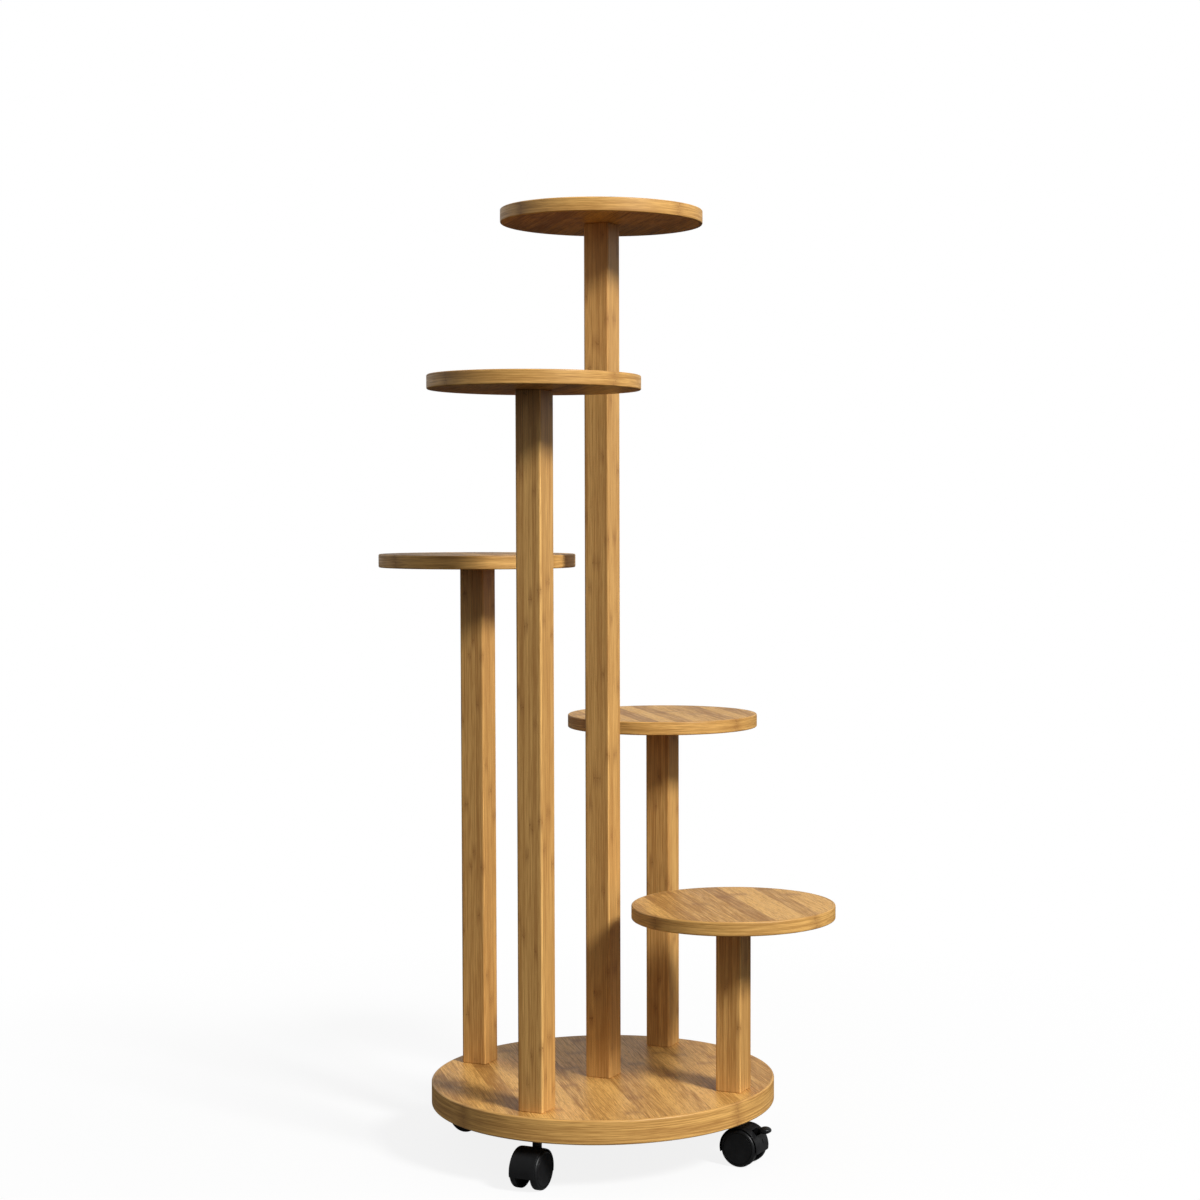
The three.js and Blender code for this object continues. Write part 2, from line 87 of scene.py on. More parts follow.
BOLT_CROWN_MARGIN = 0.1 * MM
BOLT_CROWN_INSET = 1.1 * MM
BOLT_CROWN_DEPTH = 0.7 * MM
BOLT_PLAIN_LENGTH = 4 * MM
BOLT_RECESS_RADIUS = 11 * MM
BOLT_RECESS_DEPTH = 8 * MM

# Caster, in its own frame: origin on the floor under the stem, wheels trailing towards +X
WHEEL_INNER_FACE = 8.4 * MM
WHEEL_OUTER_FACE = 16.4 * MM
WHEEL_EDGE_ROUND = 2.9 * MM
WHEEL_INNER_ROUND = 0.6 * MM
WHEEL_LIP_ROUND = 0.3 * MM
WHEEL_CORNER_ROUND = 0.8 * MM
RIM_THICKNESS = 2.9 * MM
WHEEL_DISC_THICKNESS = 3 * MM
CAP_RADIUS = 16.6 * MM
CAP_GROOVE_WIDTH = 0.8 * MM
CAP_GROOVE_DEPTH = 0.9 * MM
CAP_GROOVE_ROUND = 0.2 * MM
CAP_GROOVE_FLOOR_ROUND = 0.15 * MM
CAP_EDGE_ROUND = 0.3 * MM
CAP_SINK = 0.1 * MM
CAP_DISH = 0.35 * MM
CAP_BORDER = 3 * MM
HUB_RADIUS = 6.2 * MM
HUB_INNER_FACE = 5.1 * MM
WHEEL_BORE_RADIUS = 3.12 * MM
WHEEL_BORE_END = 14.1 * MM
AXLE_RADIUS = 3 * MM
AXLE_HOLE_RADIUS = 3.05 * MM
AXLE_END = 13.8 * MM
HOOD_RADIUS = 22.9 * MM
HOOD_WALL = 1.1 * MM
HOOD_HALF_WIDTH = 14.9 * MM
HOOD_EDGE_ROUND = 0.25 * MM
HOOD_SHOULDER = 4 * MM
HOOD_CROWN = 0.35 * MM
HOOD_BACK_ANGLE = -12
HOOD_STEM_ANGLE = 195
HOOD_STATIONS = 80
HOOD_END_STATIONS = 3
HOOD_CROWN_STEPS = 6
WEB_START_ANGLE = 95
WEB_END_ANGLE = HOOD_STEM_ANGLE - 1
WEB_HALF_WIDTH = 4.8 * MM
AXLE_BOSS_RADIUS = 6 * MM
BOSS_STEP = 0.01 * MM  # keeps the axle boss's ends off the web's sides, for a clean join
BOSS_RADIUS = 5 * MM
BOSS_BITE = 0.2 * MM  # how deep in the hood's wall the stem's boss starts
BOSS_TOP = 42.4 * MM
BOSS_BOTTOM = 28 * MM
BOSS_ROUND = 0.3 * MM
NECK_RADIUS = 5 * MM
NECK_ROUND = 0.4 * MM
SWIVEL_GAP = 0.3 * MM
PIVOT_PIN_RADIUS = 3.2 * MM
PIVOT_PIN_BOTTOM = 22.5 * MM
PIN_TIP_ROUND = 0.5 * MM  # at the tips of stem and axle
PIVOT_SOCKET_RADIUS = 3.35 * MM
PIVOT_SOCKET_BOTTOM = 22 * MM
GROOVE_RADIUS = 2.5 * MM
GROOVE_LOW = 26 * MM
GROOVE_HIGH = 28.4 * MM
GROOVE_ROUND = 0.1 * MM
LIP_RADIUS = 2.75 * MM
LIP_LOW = 26.5 * MM
LIP_HIGH = 27.9 * MM

# Brake lever and the hood's openings for it: angles in degrees about the axle
LEVER_TOE_RADIUS = 13.9 * MM
LEVER_TOE_ANGLE = 78
LEVER_ELBOW_RADIUS = 25.8 * MM
LEVER_ELBOW_ANGLE = 50.8
LEVER_HALF_WIDTH = 2.7 * MM
LEVER_THICKNESS = 3.6 * MM
LEVER_HUB_RADIUS = 2.8 * MM
LEVER_EDGE_ROUND = 0.5 * MM
PAD_RADIUS = 32.2 * MM
PAD_ANGLE = 37.7
PAD_HALF_LENGTH = 7.2 * MM
PAD_HALF_THICKNESS = 3.7 * MM
PAD_HALF_WIDTH = 6.5 * MM
PAD_SQUARENESS = 0.75
PAD_TAPER = 0.62  # powers that shape the pad: its thickness along it, then its outline
PAD_LEAF = 2.6
PAD_SHOULDER = 0.55
PAD_TIP_THICKNESS = 0.03
PAD_TIP_WIDTH = 0.04
PAD_STATIONS = 28
PAD_SEGMENTS = 40
TRUNNION_RADIUS = 1.5 * MM
TRUNNION_HOLE_RADIUS = 1.65 * MM
TRUNNION_END = 4.6 * MM
BRAKE_BAR_RADIUS = 1.2 * MM
BRAKE_BAR_END = 11 * MM
EAR_INNER_FACE = 3 * MM
EAR_RADIUS = 3.2 * MM
EAR_LOW_ANGLE = 8
EAR_HIGH_ANGLE = 26
EAR_ROUND_START = 60
EAR_ROUND_END = 240
EAR_STEPS = 18
WINDOW = (37, 57, 6.5 * MM, 0.0)  # from angle, to angle, half width, middle
SMALL_SLOT = (11, 23, 0.8 * MM, 2.1 * MM)

# Facets round each turned shape
BOARD_SEGMENTS = 256
WHEEL_SEGMENTS = 96
ROD_SEGMENTS = 48
FLOOR_SEGMENTS = 64
THREAD_STEPS = 8  # rings of points per turn of a thread
FLUTE_STEPS = 8
ARC_STEP = math.radians(12)  # largest turn between two points of a fillet
SWEEP_STEP = 3  # and of an arc about the axle, in degrees
CUT_MARGIN = 1 * MM
NEAR = 0.1  # share of a thread's depth within which a point counts as on its radius

# Grain of the bamboo
GRAIN_DIRECTION = math.radians(-50)
BOARD_STRIP = 19 * MM
POST_STRIP_WIDTH = 10 * MM
POST_STRIP_THICKNESS = 5 * MM
BAND_JOINT = math.radians(-244)  # where the two ends of each band meet, at the back
BAND_KNUCKLE = math.radians(-15)
BAND_KNUCKLE_TURN = math.radians(100)  # from one knuckle of a band to the next
KNUCKLE_HALF_WIDTH = 7 * MM
HALO_HALF_WIDTH = 2.2 * KNUCKLE_HALF_WIDTH
KNUCKLE_WANDER = 12 * MM
KNUCKLE_BROWN = (0.27, 0.115, 0.030)
KNUCKLE_SHARE = 0.8
HALO_SHARE = 0.5
SPECKLE_SIZE = 3 * (1.9 * MM,)
SPECKLE_RANGE = (0.40, 0.62)
STREAKS = (  # each width and length of streak, and its share of the grain's darkness
    (11 * MM, 130 * MM, 0.30),
    (2.6 * MM, 70 * MM, 0.32),
    (1.15 * MM, 38 * MM, 0.60),
    (0.45 * MM, 10 * MM, 0.38),
)
SHADE_SPREAD = 0.20
VESSEL_SIZE = (0.8 * MM, 13 * MM)
VESSEL_RANGE = (0.53, 0.66)
VESSEL_SHARE = 0.6
FIBRE_RELIEF = 0.6
FINE_RELIEF = 0.4
SEAM_RELIEF = 0.8
LACQUER_ROUGHNESS = (0.36, 0.48)
LACQUER_GLOSS = 0.35
LACQUER_BUMP = (0.25, 0.12 * MM)  # strength and depth
NOISE_RANGE = (0.3, 0.7)  # where nearly all of a noise's values lie
SEAM_HALF_WIDTH = 0.55 * MM
SEAM_CORE = SEAM_HALF_WIDTH / 4
STRIP_SHIFT = 3.0
STRIP_SEEDS = (0.0, 7.0, 13.0)  # of a strip's tone, of its knuckles' places and of its lean
GRAIN_SHIFT = 0.37  # metres along the grain, from one piece's stretch of it to the next
BOARD_SHIFT = 0.5  # and across it, from board to board
BAND_SHIFT = 0.1  # and from band to band
BOARD_DEPTH = 0.3  # metres into the grain at a board's middle, clear of any strip's edge
BAND_DEPTH = 0.5
POST_STRIPS_ACROSS = 9  # and, in strips, from post to post
POST_STRIPS_INTO = 7

# Other materials
BEECH_PALE = (0.62, 0.44, 0.25)
BEECH_DARK = (0.45, 0.29, 0.15)
ZINC_GREY = (0.62, 0.64, 0.66)
BRASS_YELLOW = (0.72, 0.52, 0.22)
STEEL_BLACK = (0.010, 0.010, 0.011)
NYLON_BLACK = (0.0055, 0.0057, 0.0062)
PLATING_GRAIN = 3 * MM
STEEL_GRIT = (0.5 * MM, 0.02 * MM)  # size and depth
NYLON_GRIT = (0.4 * MM, 0.04 * MM)
GRIT_CLOUD = 3 * (9 * MM,)

# Studio
CAMERA_AZIMUTH = math.radians(26.396)
CAMERA_DISTANCE = 2.4737
CAMERA_HEIGHT = 0.7114
CAMERA_YAW = math.radians(-3.071)
CAMERA_PITCH = math.radians(-3.055)
CAMERA_ROLL = math.radians(0.024)
CAMERA_LENS = 66.93
CAMERA_SHIFT = (-0.10167, 0.02525)
KEY_AZIMUTH = math.radians(-21)
KEY_REACH = 6.0
KEY_HEIGHT = 4.91
KEY_SIZE = 1.6
KEY_POWER = 655
SKY_LIGHT = 0.24
SIDE_LIGHT = 0.45
BACK_SHINE = 0.2
AIM_HEIGHT = 0.55
FLOOR_RADIUS = 24.0
FLOOR_INNER_RING = 1.2
FLOOR_WHITE = 0.88
FADE_START = 0.3  # metres from the middle, where the floor starts to fade
FADE_END = 1.3
FADE_NEAR = 0.86  # how much of the fade there is at the start
BOUNCE_START = 0.22
BOUNCE_END = 0.42
BOUNCE_NEAR = 0.22
BOUNCE_FAR = 0.04

nodes_body = {
    node: body
    for body, members in frame["record"]["behaviour"]["bodies"].items()
    for node in members
}
joints = {joint["name"]: joint for joint in frame["joints"]}


def radius_of(node):
    low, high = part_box(node)
    return (high.x - low.x) / 2


BASE_RADIUS = radius_of("base_edge_band")
TRAY_RADIUS = radius_of("tray_edge_band_1")


# Meshes


def mesh_from(vertices, faces):
    """A mesh with its faces turned outwards."""
    mesh = bpy.data.meshes.new("part")
    mesh.from_pydata([tuple(v) for v in vertices], [], faces)
    work = bmesh.new()
    work.from_mesh(mesh)
    bmesh.ops.recalc_face_normals(work, faces=work.faces)
    work.to_mesh(mesh)
    work.free()
    return mesh


def moved(mesh, matrix):
    mesh.transform(matrix)
    return mesh


def rounded(corners, closed=True):
    """A line through (x, y, fillet radius) corners, each fillet an arc."""
    points = []
    for i, (x, y, radius) in enumerate(corners):
        at_end = not closed and i in (0, len(corners) - 1)
        if radius == 0 or at_end:
            points.append((x, y))
            continue
        here = Vector((x, y))
        back = (Vector(corners[i - 1][:2]) - here).normalized()
        on = (Vector(corners[(i + 1) % len(corners)][:2]) - here).normalized()
        half = back.angle(on) / 2
        centre = here + (back + on).normalized() * radius / math.sin(half)
        start = here + back * radius / math.tan(half) - centre
        end = here + on * radius / math.tan(half) - centre
        from_angle = math.atan2(start.y, start.x)
        turn = math.remainder(math.atan2(end.y, end.x) - from_angle, math.tau)
        steps = max(2, math.ceil(abs(turn) / ARC_STEP))
        for k in range(steps + 1):
            angle = from_angle + turn * k / steps
            across = centre.x + radius * math.cos(angle)
            up = centre.y + radius * math.sin(angle)
            points.append((across, up))
    return points


def turned(profile, segments=ROD_SEGMENTS, ring=False):
    """A profile of (radius, height) points turned about Z: from axis to axis, or a closed ring."""
    vertices = []
    rows = []
    for radius, height in profile:
        if radius == 0:
            rows.append([len(vertices)] * segments)
            vertices.append((0, 0, height))
            continue
        rows.append(list(range(len(vertices), len(vertices) + segments)))
        for k in range(segments):
            angle = math.tau * k / segments
            vertices.append((radius * math.cos(angle), radius * math.sin(angle), height))
    faces = []
    pairs = list(zip(rows, rows[1:]))
    if ring:
        pairs.append((rows[-1], rows[0]))
    for low, high in pairs:
        for k in range(segments):
            n = (k + 1) % segments
            corners = dict.fromkeys((low[k], low[n], high[n], high[k]))
            if len(corners) > 2:
                faces.append(tuple(corners))
    return mesh_from(vertices, faces)


def rod(radius, low, high, segments=ROD_SEGMENTS):
    """A round bar along Z with flat ends."""
    angles = [math.tau * k / segments for k in range(segments)]
    return prism([(radius * math.cos(a), radius * math.sin(a)) for a in angles], low, high)


def lofted(sections):
    """A closed solid through rings of points, each ring with the same count."""
    count = len(sections[0])
    vertices = [point for section in sections for point in section]
    faces = [tuple(range(count)), tuple(range(len(vertices) - count, len(vertices)))]
    for s in range(len(sections) - 1):
        for k in range(count):
            n = (k + 1) % count
            faces.append((s * count + k, s * count + n, (s + 1) * count + n, (s + 1) * count + k))
    return mesh_from(vertices, faces)


def prism(outline, low, high):
    """An outline of (x, y) points made solid from one height to another."""
    return lofted([[(x, y, z) for x, y in outline] for z in (low, high)])


def plate(outline, half_width, middle=0.0):
    """An outline of (x, z) points made solid across Y."""
    sides = (middle - half_width, middle + half_width)
    return lofted([[(x, y, z) for x, z in outline] for y in sides])


ACROSS = Matrix.Rotation(math.radians(-90), 4, "X")  # turns a shape about Z into one about Y


def cross_bar(centre, radius, half_width):
    """A round bar along Y, centred at a point of X and Z."""
    bar = moved(rod(radius, -half_width, half_width), ACROSS)
    return moved(bar, Matrix.Translation((centre[0], 0, centre[1])))


def combined(operation, first, others):
    """The first mesh joined with, or cut by, the others."""
    scene = bpy.context.scene
    host = bpy.data.objects.new("host", first)
    scene.collection.objects.link(host)
    tools = []
    for other in others:
        tool = bpy.data.objects.new("tool", other)
        scene.collection.objects.link(tool)
        tools.append(tool)
        boolean = host.modifiers.new("boolean", "BOOLEAN")
        boolean.operation = operation
        boolean.solver = "EXACT"
        boolean.object = tool
    view = bpy.context.evaluated_depsgraph_get()
    result = bpy.data.meshes.new_from_object(host.evaluated_get(view))
    for used in [host] + tools:
        bpy.data.objects.remove(used)
    return result


def joined(first, *others):
    return combined("UNION", first, others)


def cut(first, *others):
    return combined("DIFFERENCE", first, others)


def winding(mesh, radius, low, high, pitch, depth):
    """Sinks a helical thread into the vertices that lie at a radius between two heights."""
    for vertex in mesh.vertices:
        x, y, z = vertex.co
        if not low < z < high or abs(math.hypot(x, y) - radius) > NEAR * depth:
            continue
        phase = (z / pitch - math.atan2(y, x) / math.tau) % 1
        run_out = min(1, (z - low) / pitch, (high - z) / pitch)
        sink = depth * abs(2 * phase - 1) * run_out
        vertex.co.x = x * (1 - sink / radius)
        vertex.co.y = y * (1 - sink / radius)
    return mesh


def fluted(mesh, radius, count, depth):
    """Sinks straight flutes into the vertices that lie at a radius."""
    for vertex in mesh.vertices:
        x, y, z = vertex.co
        if abs(math.hypot(x, y) - radius) < NEAR * depth:
            sink = depth * max(0, math.cos(count * math.atan2(y, x)))
            vertex.co.x = x * (1 - sink / radius)
            vertex.co.y = y * (1 - sink / radius)
    return mesh


def stretch(radius, low, high, step):
    """Points up a straight side, close enough together to take a thread."""
    count = math.ceil((high - low) / step)
    return [(radius, low + (high - low) * k / count) for k in range(count + 1)]


# Materials


class Shader:
    """A material's node tree with one Principled shader, and short calls that add nodes to it."""

    def __init__(self, name):
        self.material = bpy.data.materials.new(name)
        self.material.use_nodes = True
        self.tree = self.material.node_tree
        self.surface = self.tree.nodes["Principled BSDF"]

    def put(self, socket, value):
        if isinstance(value, bpy.types.NodeSocket):
            self.tree.links.new(value, socket)
        else:
            socket.default_value = value

    def set(self, **values):
        for name, value in values.items():
            self.put(self.surface.inputs[name.replace("_", " ")], value)

    def math(self, operation, *values):
        node = self.tree.nodes.new("ShaderNodeMath")
        node.operation = operation
        for socket, value in zip(node.inputs, values):
            self.put(socket, value)
        return node.outputs[0]

    def vector(self, x, y, z):
        node = self.tree.nodes.new("ShaderNodeCombineXYZ")
        for socket, value in zip(node.inputs, (x, y, z)):
            self.put(socket, value)
        return node.outputs[0]

    def scaled(self, parts, sizes):
        """A vector of three parts, each divided by its size."""
        return self.vector(*(self.math("DIVIDE", *pair) for pair in zip(parts, sizes)))

    def split(self, vector):
        node = self.tree.nodes.new("ShaderNodeSeparateXYZ")
        self.put(node.inputs[0], vector)
        return node.outputs

    def noise(self, vector, detail=3.0, roughness=0.55):
        node = self.tree.nodes.new("ShaderNodeTexNoise")
        self.put(node.inputs["Vector"], vector)
        node.inputs["Scale"].default_value = 1.0
        node.inputs["Detail"].default_value = detail
        node.inputs["Roughness"].default_value = roughness
        return node.outputs["Fac"]

    def random(self, vector):
        node = self.tree.nodes.new("ShaderNodeTexWhiteNoise")
        self.put(node.inputs["Vector"], vector)
        return node.outputs["Value"]

    def ramp(self, value, low, high, out_low=0.0, out_high=1.0):
        node = self.tree.nodes.new("ShaderNodeMapRange")
        node.interpolation_type = "SMOOTHSTEP"
        for socket, number in zip(node.inputs, (value, low, high, out_low, out_high)):
            self.put(socket, number)
        return node.outputs[0]

    def mix(self, factor, first, second):
        node = self.tree.nodes.new("ShaderNodeMix")
        node.data_type = "RGBA"
        self.put(node.inputs["Factor"], factor)
        for socket, colour in zip((node.inputs[6], node.inputs[7]), (first, second)):
            self.put(socket, (*colour, 1.0) if isinstance(colour, tuple) else colour)
        return node.outputs[2]

    def bump(self, height, strength, distance):
        node = self.tree.nodes.new("ShaderNodeBump")
        node.inputs["Strength"].default_value = strength
        node.inputs["Distance"].default_value = distance
        self.put(node.inputs["Height"], height)
        return node.outputs["Normal"]

    def attribute(self, name):
        node = self.tree.nodes.new("ShaderNodeAttribute")
        node.attribute_name = name
        return node.outputs["Vector"]

    def place(self):
        return self.tree.nodes.new("ShaderNodeTexCoord").outputs["Object"]


def bamboo(
    name,
    pale,
    dark,
    knuckle_spacing,
    fibre_length,
    strip_size=None,
    strip_lean=0.0,
    tone_share=0.1,
    seam_darkness=0.0,
):
    """Bamboo under satin lacquer. The grain attribute holds metres along the grain, across it
    and into the board. A strip size, across and into the board, makes strips glued side by
    side: each has its own tone and lean, and its knuckles in its own places."""
    s = Shader(name)
    along, across, into = s.split(s.attribute("grain"))
    tone = phase = lean = 0.5
    seams = 0.0
    if strip_size:
        strips = [s.math("DIVIDE", *pair) for pair in zip((across, into), strip_size)]
        strip = [s.math("FLOOR", number) for number in strips]
        tone, phase, lean = (s.random(s.vector(*strip, seed)) for seed in STRIP_SEEDS)
        edges = []
        for number, size in zip(strips, strip_size):
            middle = s.math("ABSOLUTE", s.math("SUBTRACT", s.math("FRACT", number), 0.5))
            gap = s.math("MULTIPLY", s.math("SUBTRACT", 0.5, middle), size)
            edges.append(s.ramp(gap, SEAM_HALF_WIDTH, SEAM_CORE))
        seams = s.math("MAXIMUM", *edges)
    shifted = s.math("ADD", along, s.math("MULTIPLY", phase, STRIP_SHIFT))
    slope = s.math("MULTIPLY", s.math("SUBTRACT", lean, 0.5), 2 * strip_lean)
    leaned = s.math("ADD", across, s.math("MULTIPLY", slope, along))

    def streaks(wide, long, detail=2.0):
        """Noise drawn out along the grain."""
        size = (long * fibre_length, wide, wide)
        return s.noise(s.scaled((shifted, leaned, into), size), detail)

    noises = [streaks(wide, long) for wide, long, _share in STREAKS]
    middling, fibre, fine = noises[1:]
    shares = [*(share for _wide, _long, share in STREAKS), tone_share]
    shade = 0.0
    for streak, share in zip([*noises, tone], shares):
        shade = s.math("ADD", shade, s.math("MULTIPLY", streak, share))
    level = sum(shares) / 2
    darkness = s.ramp(shade, level - SHADE_SPREAD, level + SHADE_SPREAD)
    vessels = s.ramp(streaks(*VESSEL_SIZE, 1.0), *VESSEL_RANGE)

    cycle = s.math("FRACT", s.math("ADD", s.math("DIVIDE", along, knuckle_spacing), phase))
    away = s.math("MULTIPLY", s.math("SUBTRACT", cycle, 0.5), knuckle_spacing)
    wander = s.math("MULTIPLY", s.math("SUBTRACT", middling, 0.5), KNUCKLE_WANDER)
    ragged = s.math("ABSOLUTE", s.math("ADD", away, wander))
    speckle = s.noise(s.scaled((shifted, across, into), SPECKLE_SIZE), 2.0)
    halo = s.math("MULTIPLY", s.ramp(ragged, HALO_HALF_WIDTH, 0.0), HALO_SHARE)
    core = s.ramp(ragged, KNUCKLE_HALF_WIDTH, 0.0)
    core = s.math("MULTIPLY", core, s.ramp(speckle, *SPECKLE_RANGE))
    knuckle = s.math("MAXIMUM", halo, core)

    wood = s.mix(darkness, pale, dark)
    wood = s.mix(s.math("MULTIPLY", vessels, VESSEL_SHARE), wood, dark)
    wood = s.mix(s.math("MULTIPLY", knuckle, KNUCKLE_SHARE), wood, KNUCKLE_BROWN)
    wood = s.mix(s.math("MULTIPLY", seams, seam_darkness), wood, KNUCKLE_BROWN)
    relief = s.math("MULTIPLY", fibre, FIBRE_RELIEF)
    relief = s.math("ADD", relief, s.math("MULTIPLY", fine, FINE_RELIEF))
    relief = s.math("SUBTRACT", relief, s.math("MULTIPLY", seams, SEAM_RELIEF))
    s.set(
        Base_Color=wood,
        Roughness=s.ramp(fibre, *NOISE_RANGE, *LACQUER_ROUGHNESS),
        Specular_IOR_Level=LACQUER_GLOSS,
        Normal=s.bump(relief, *LACQUER_BUMP),
    )
    return s.material


def beech(name):
    """Pale straight-grained dowel wood with short flecks."""
    s = Shader(name)
    place = s.split(s.place())
    grain = s.noise(s.scaled(place, (1 * MM, 1 * MM, 25 * MM)))
    flecks = s.noise(s.scaled(place, (0.4 * MM, 0.4 * MM, 3 * MM)))
    shade = s.math("ADD", s.math("MULTIPLY", grain, 0.6), s.math("MULTIPLY", flecks, 0.4))
    s.set(
        Base_Color=s.mix(s.ramp(shade, 0.35, 0.65), BEECH_PALE, BEECH_DARK),
        Roughness=0.7,
        Normal=s.bump(shade, 0.3, 0.1 * MM),
    )
    return s.material


def plated(name, colour, roughness, grain_size):
    """Turned, plated metal with a faint cloudy finish."""
    s = Shader(name)
    cloud = s.noise(s.scaled(s.split(s.place()), (grain_size, grain_size, grain_size / 3)))
    darker = tuple(0.7 * channel for channel in colour)
    s.set(
        Base_Color=s.mix(s.ramp(cloud, *NOISE_RANGE), colour, darker),
        Metallic=1.0,
        Roughness=s.ramp(cloud, *NOISE_RANGE, roughness - 0.06, roughness + 0.08),
        Normal=s.bump(cloud, 0.1, 0.02 * MM),
    )
    return s.material


def moulded(name, colour, roughness, grit_size, grit_depth, gloss=0.5):
    """Black plastic or coating with a fine even texture."""
    s = Shader(name)
    place = s.split(s.place())
    grit = s.noise(s.scaled(place, 3 * (grit_size,)), 2.0)
    cloud = s.noise(s.scaled(place, GRIT_CLOUD), 2.0)
    lighter = tuple(1.5 * channel for channel in colour)
    s.set(
        Base_Color=s.mix(s.ramp(cloud, 0.35, 0.7), colour, lighter),
        Roughness=s.ramp(grit, *NOISE_RANGE, roughness - 0.05, roughness + 0.07),
        Specular_IOR_Level=gloss,
        Normal=s.bump(grit, 0.35, grit_depth),
    )
    return s.material


board_bamboo = bamboo(
    "bamboo_board",
    pale=(0.80, 0.455, 0.130),
    dark=(0.36, 0.165, 0.036),
    knuckle_spacing=270 * MM,
    fibre_length=1.0,
    strip_size=(BOARD_STRIP, 1.0),
    strip_lean=math.radians(2),
    tone_share=0.25,
    seam_darkness=0.12,
)
base_band_bamboo = bamboo(
    "bamboo_base_band",
    pale=(0.76, 0.435, 0.130),
    dark=(0.37, 0.175, 0.042),
    knuckle_spacing=BAND_KNUCKLE_TURN * BASE_RADIUS,
    fibre_length=2.2,
)
tray_band_bamboo = bamboo(
    "bamboo_tray_band",
    pale=(0.78, 0.45, 0.137),
    dark=(0.41, 0.20, 0.048),
    knuckle_spacing=BAND_KNUCKLE_TURN * TRAY_RADIUS,
    fibre_length=1.6,
)
post_bamboo = bamboo(
    "bamboo_post",
    pale=(0.89, 0.53, 0.172),
    dark=(0.46, 0.225, 0.058),
    knuckle_spacing=240 * MM,
    fibre_length=2.5,
    strip_size=(POST_STRIP_WIDTH, POST_STRIP_THICKNESS),
    strip_lean=math.radians(0.3),
    tone_share=0.14,
    seam_darkness=0.30,
)
dowel_beech = beech("beech")
zinc = plated("zinc_plated_steel", ZINC_GREY, 0.3, PLATING_GRAIN)
brass = plated("turned_brass", BRASS_YELLOW, 0.3, PLATING_GRAIN)
black_steel = moulded("black_coated_steel", STEEL_BLACK, 0.32, *STEEL_GRIT)
black_nylon = moulded("black_nylon", NYLON_BLACK, 0.40, *NYLON_GRIT, gloss=0.26)


# Pieces


def add(node, mesh, material, sharp=35):
    """Puts a finished mesh in place of a CAD node, on the same body."""
    mesh.materials.clear()
    mesh.materials.append(material)
    mesh.shade_smooth()
    mesh.set_sharp_from_angle(angle=math.radians(sharp))
    visual = bpy.data.objects.new(f"{node}_visual", mesh)
    bpy.context.scene.collection.objects.link(visual)
    normals = visual.modifiers.new("normals", "WEIGHTED_NORMAL")
    normals.keep_sharp = True
    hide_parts(node)
    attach(visual, nodes_body[node])
    return visual


def lay_grain(mesh, along_across_into):
    """Stores each face corner's place in the grain."""
    grain = mesh.attributes.new("grain", "FLOAT_VECTOR", "CORNER")
    for face in mesh.polygons:
        centre = face.center.copy()
        for loop in face.loop_indices:
            point = mesh.vertices[mesh.loops[loop].vertex_index].co
            grain.data[loop].vector = along_across_into(point, centre)


def straight_grain(middle, direction, number):
    """Grain that runs one way across a board."""

    def place(point, _face):
        offset = point - middle
        along = offset.x * math.cos(direction) + offset.y * math.sin(direction)
        across = offset.y * math.cos(direction) - offset.x * math.sin(direction)
        across += BOARD_SHIFT * number
        return (along + GRAIN_SHIFT * number, across, offset.z + BOARD_DEPTH)

    return place


def upright_grain(middle, number):
    """Grain that runs up a post, its strips counted from the post's edges."""

    def place(point, _face):
        offset = point - middle
        return (
            point.z + GRAIN_SHIFT * number,
            offset.y + POST_STRIP_WIDTH / 2 + POST_STRIP_WIDTH * POST_STRIPS_ACROSS * number,
            offset.x + POST_STRIP_THICKNESS * POST_STRIPS_INTO * number,
        )

    return place


def bent_grain(middle, radius, number):
    """Grain that runs round a band, from a butt joint at its back."""

    def place(point, face):
        spot = math.atan2(face.y - middle.y, face.x - middle.x)
        turn = (spot - BAND_JOINT) % math.tau
        bend = math.remainder(math.atan2(point.y - middle.y, point.x - middle.x) - spot, math.tau)
        into = math.hypot(point.x - middle.x, point.y - middle.y) - radius
        along = (turn + bend + BAND_JOINT - BAND_KNUCKLE) * radius
        across = point.z - middle.z + BAND_DEPTH + BAND_SHIFT * number
        return (along, across, into + BAND_DEPTH)

    return place


def disc(low, high, radius):
    return rod(radius, low, high, BOARD_SEGMENTS)


def band(inner, outer, low, high, edge_round):
    section = [
        (inner, low, 0),
        (outer, low, edge_round),
        (outer, high, edge_round),
        (inner, high, 0),
    ]
    return turned(rounded(section), BOARD_SEGMENTS, ring=True)


def centre_of(node):
    low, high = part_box(node)
    return (low + high) / 2


def rounded_square(side, edge_round):
    half = side / 2
    corners = ((half, half), (-half, half), (-half, -half), (half, -half))
    return rounded([(x, y, edge_round) for x, y in corners])


def at(mesh, middle):
    return moved(mesh, Matrix.Translation((middle.x, middle.y, 0)))


def dowel_hole(tier, low, high):
    middle = centre_of(f"foot_dowel_{tier}")
    return at(rod(DOWEL_HOLE_RADIUS, low, high), middle)


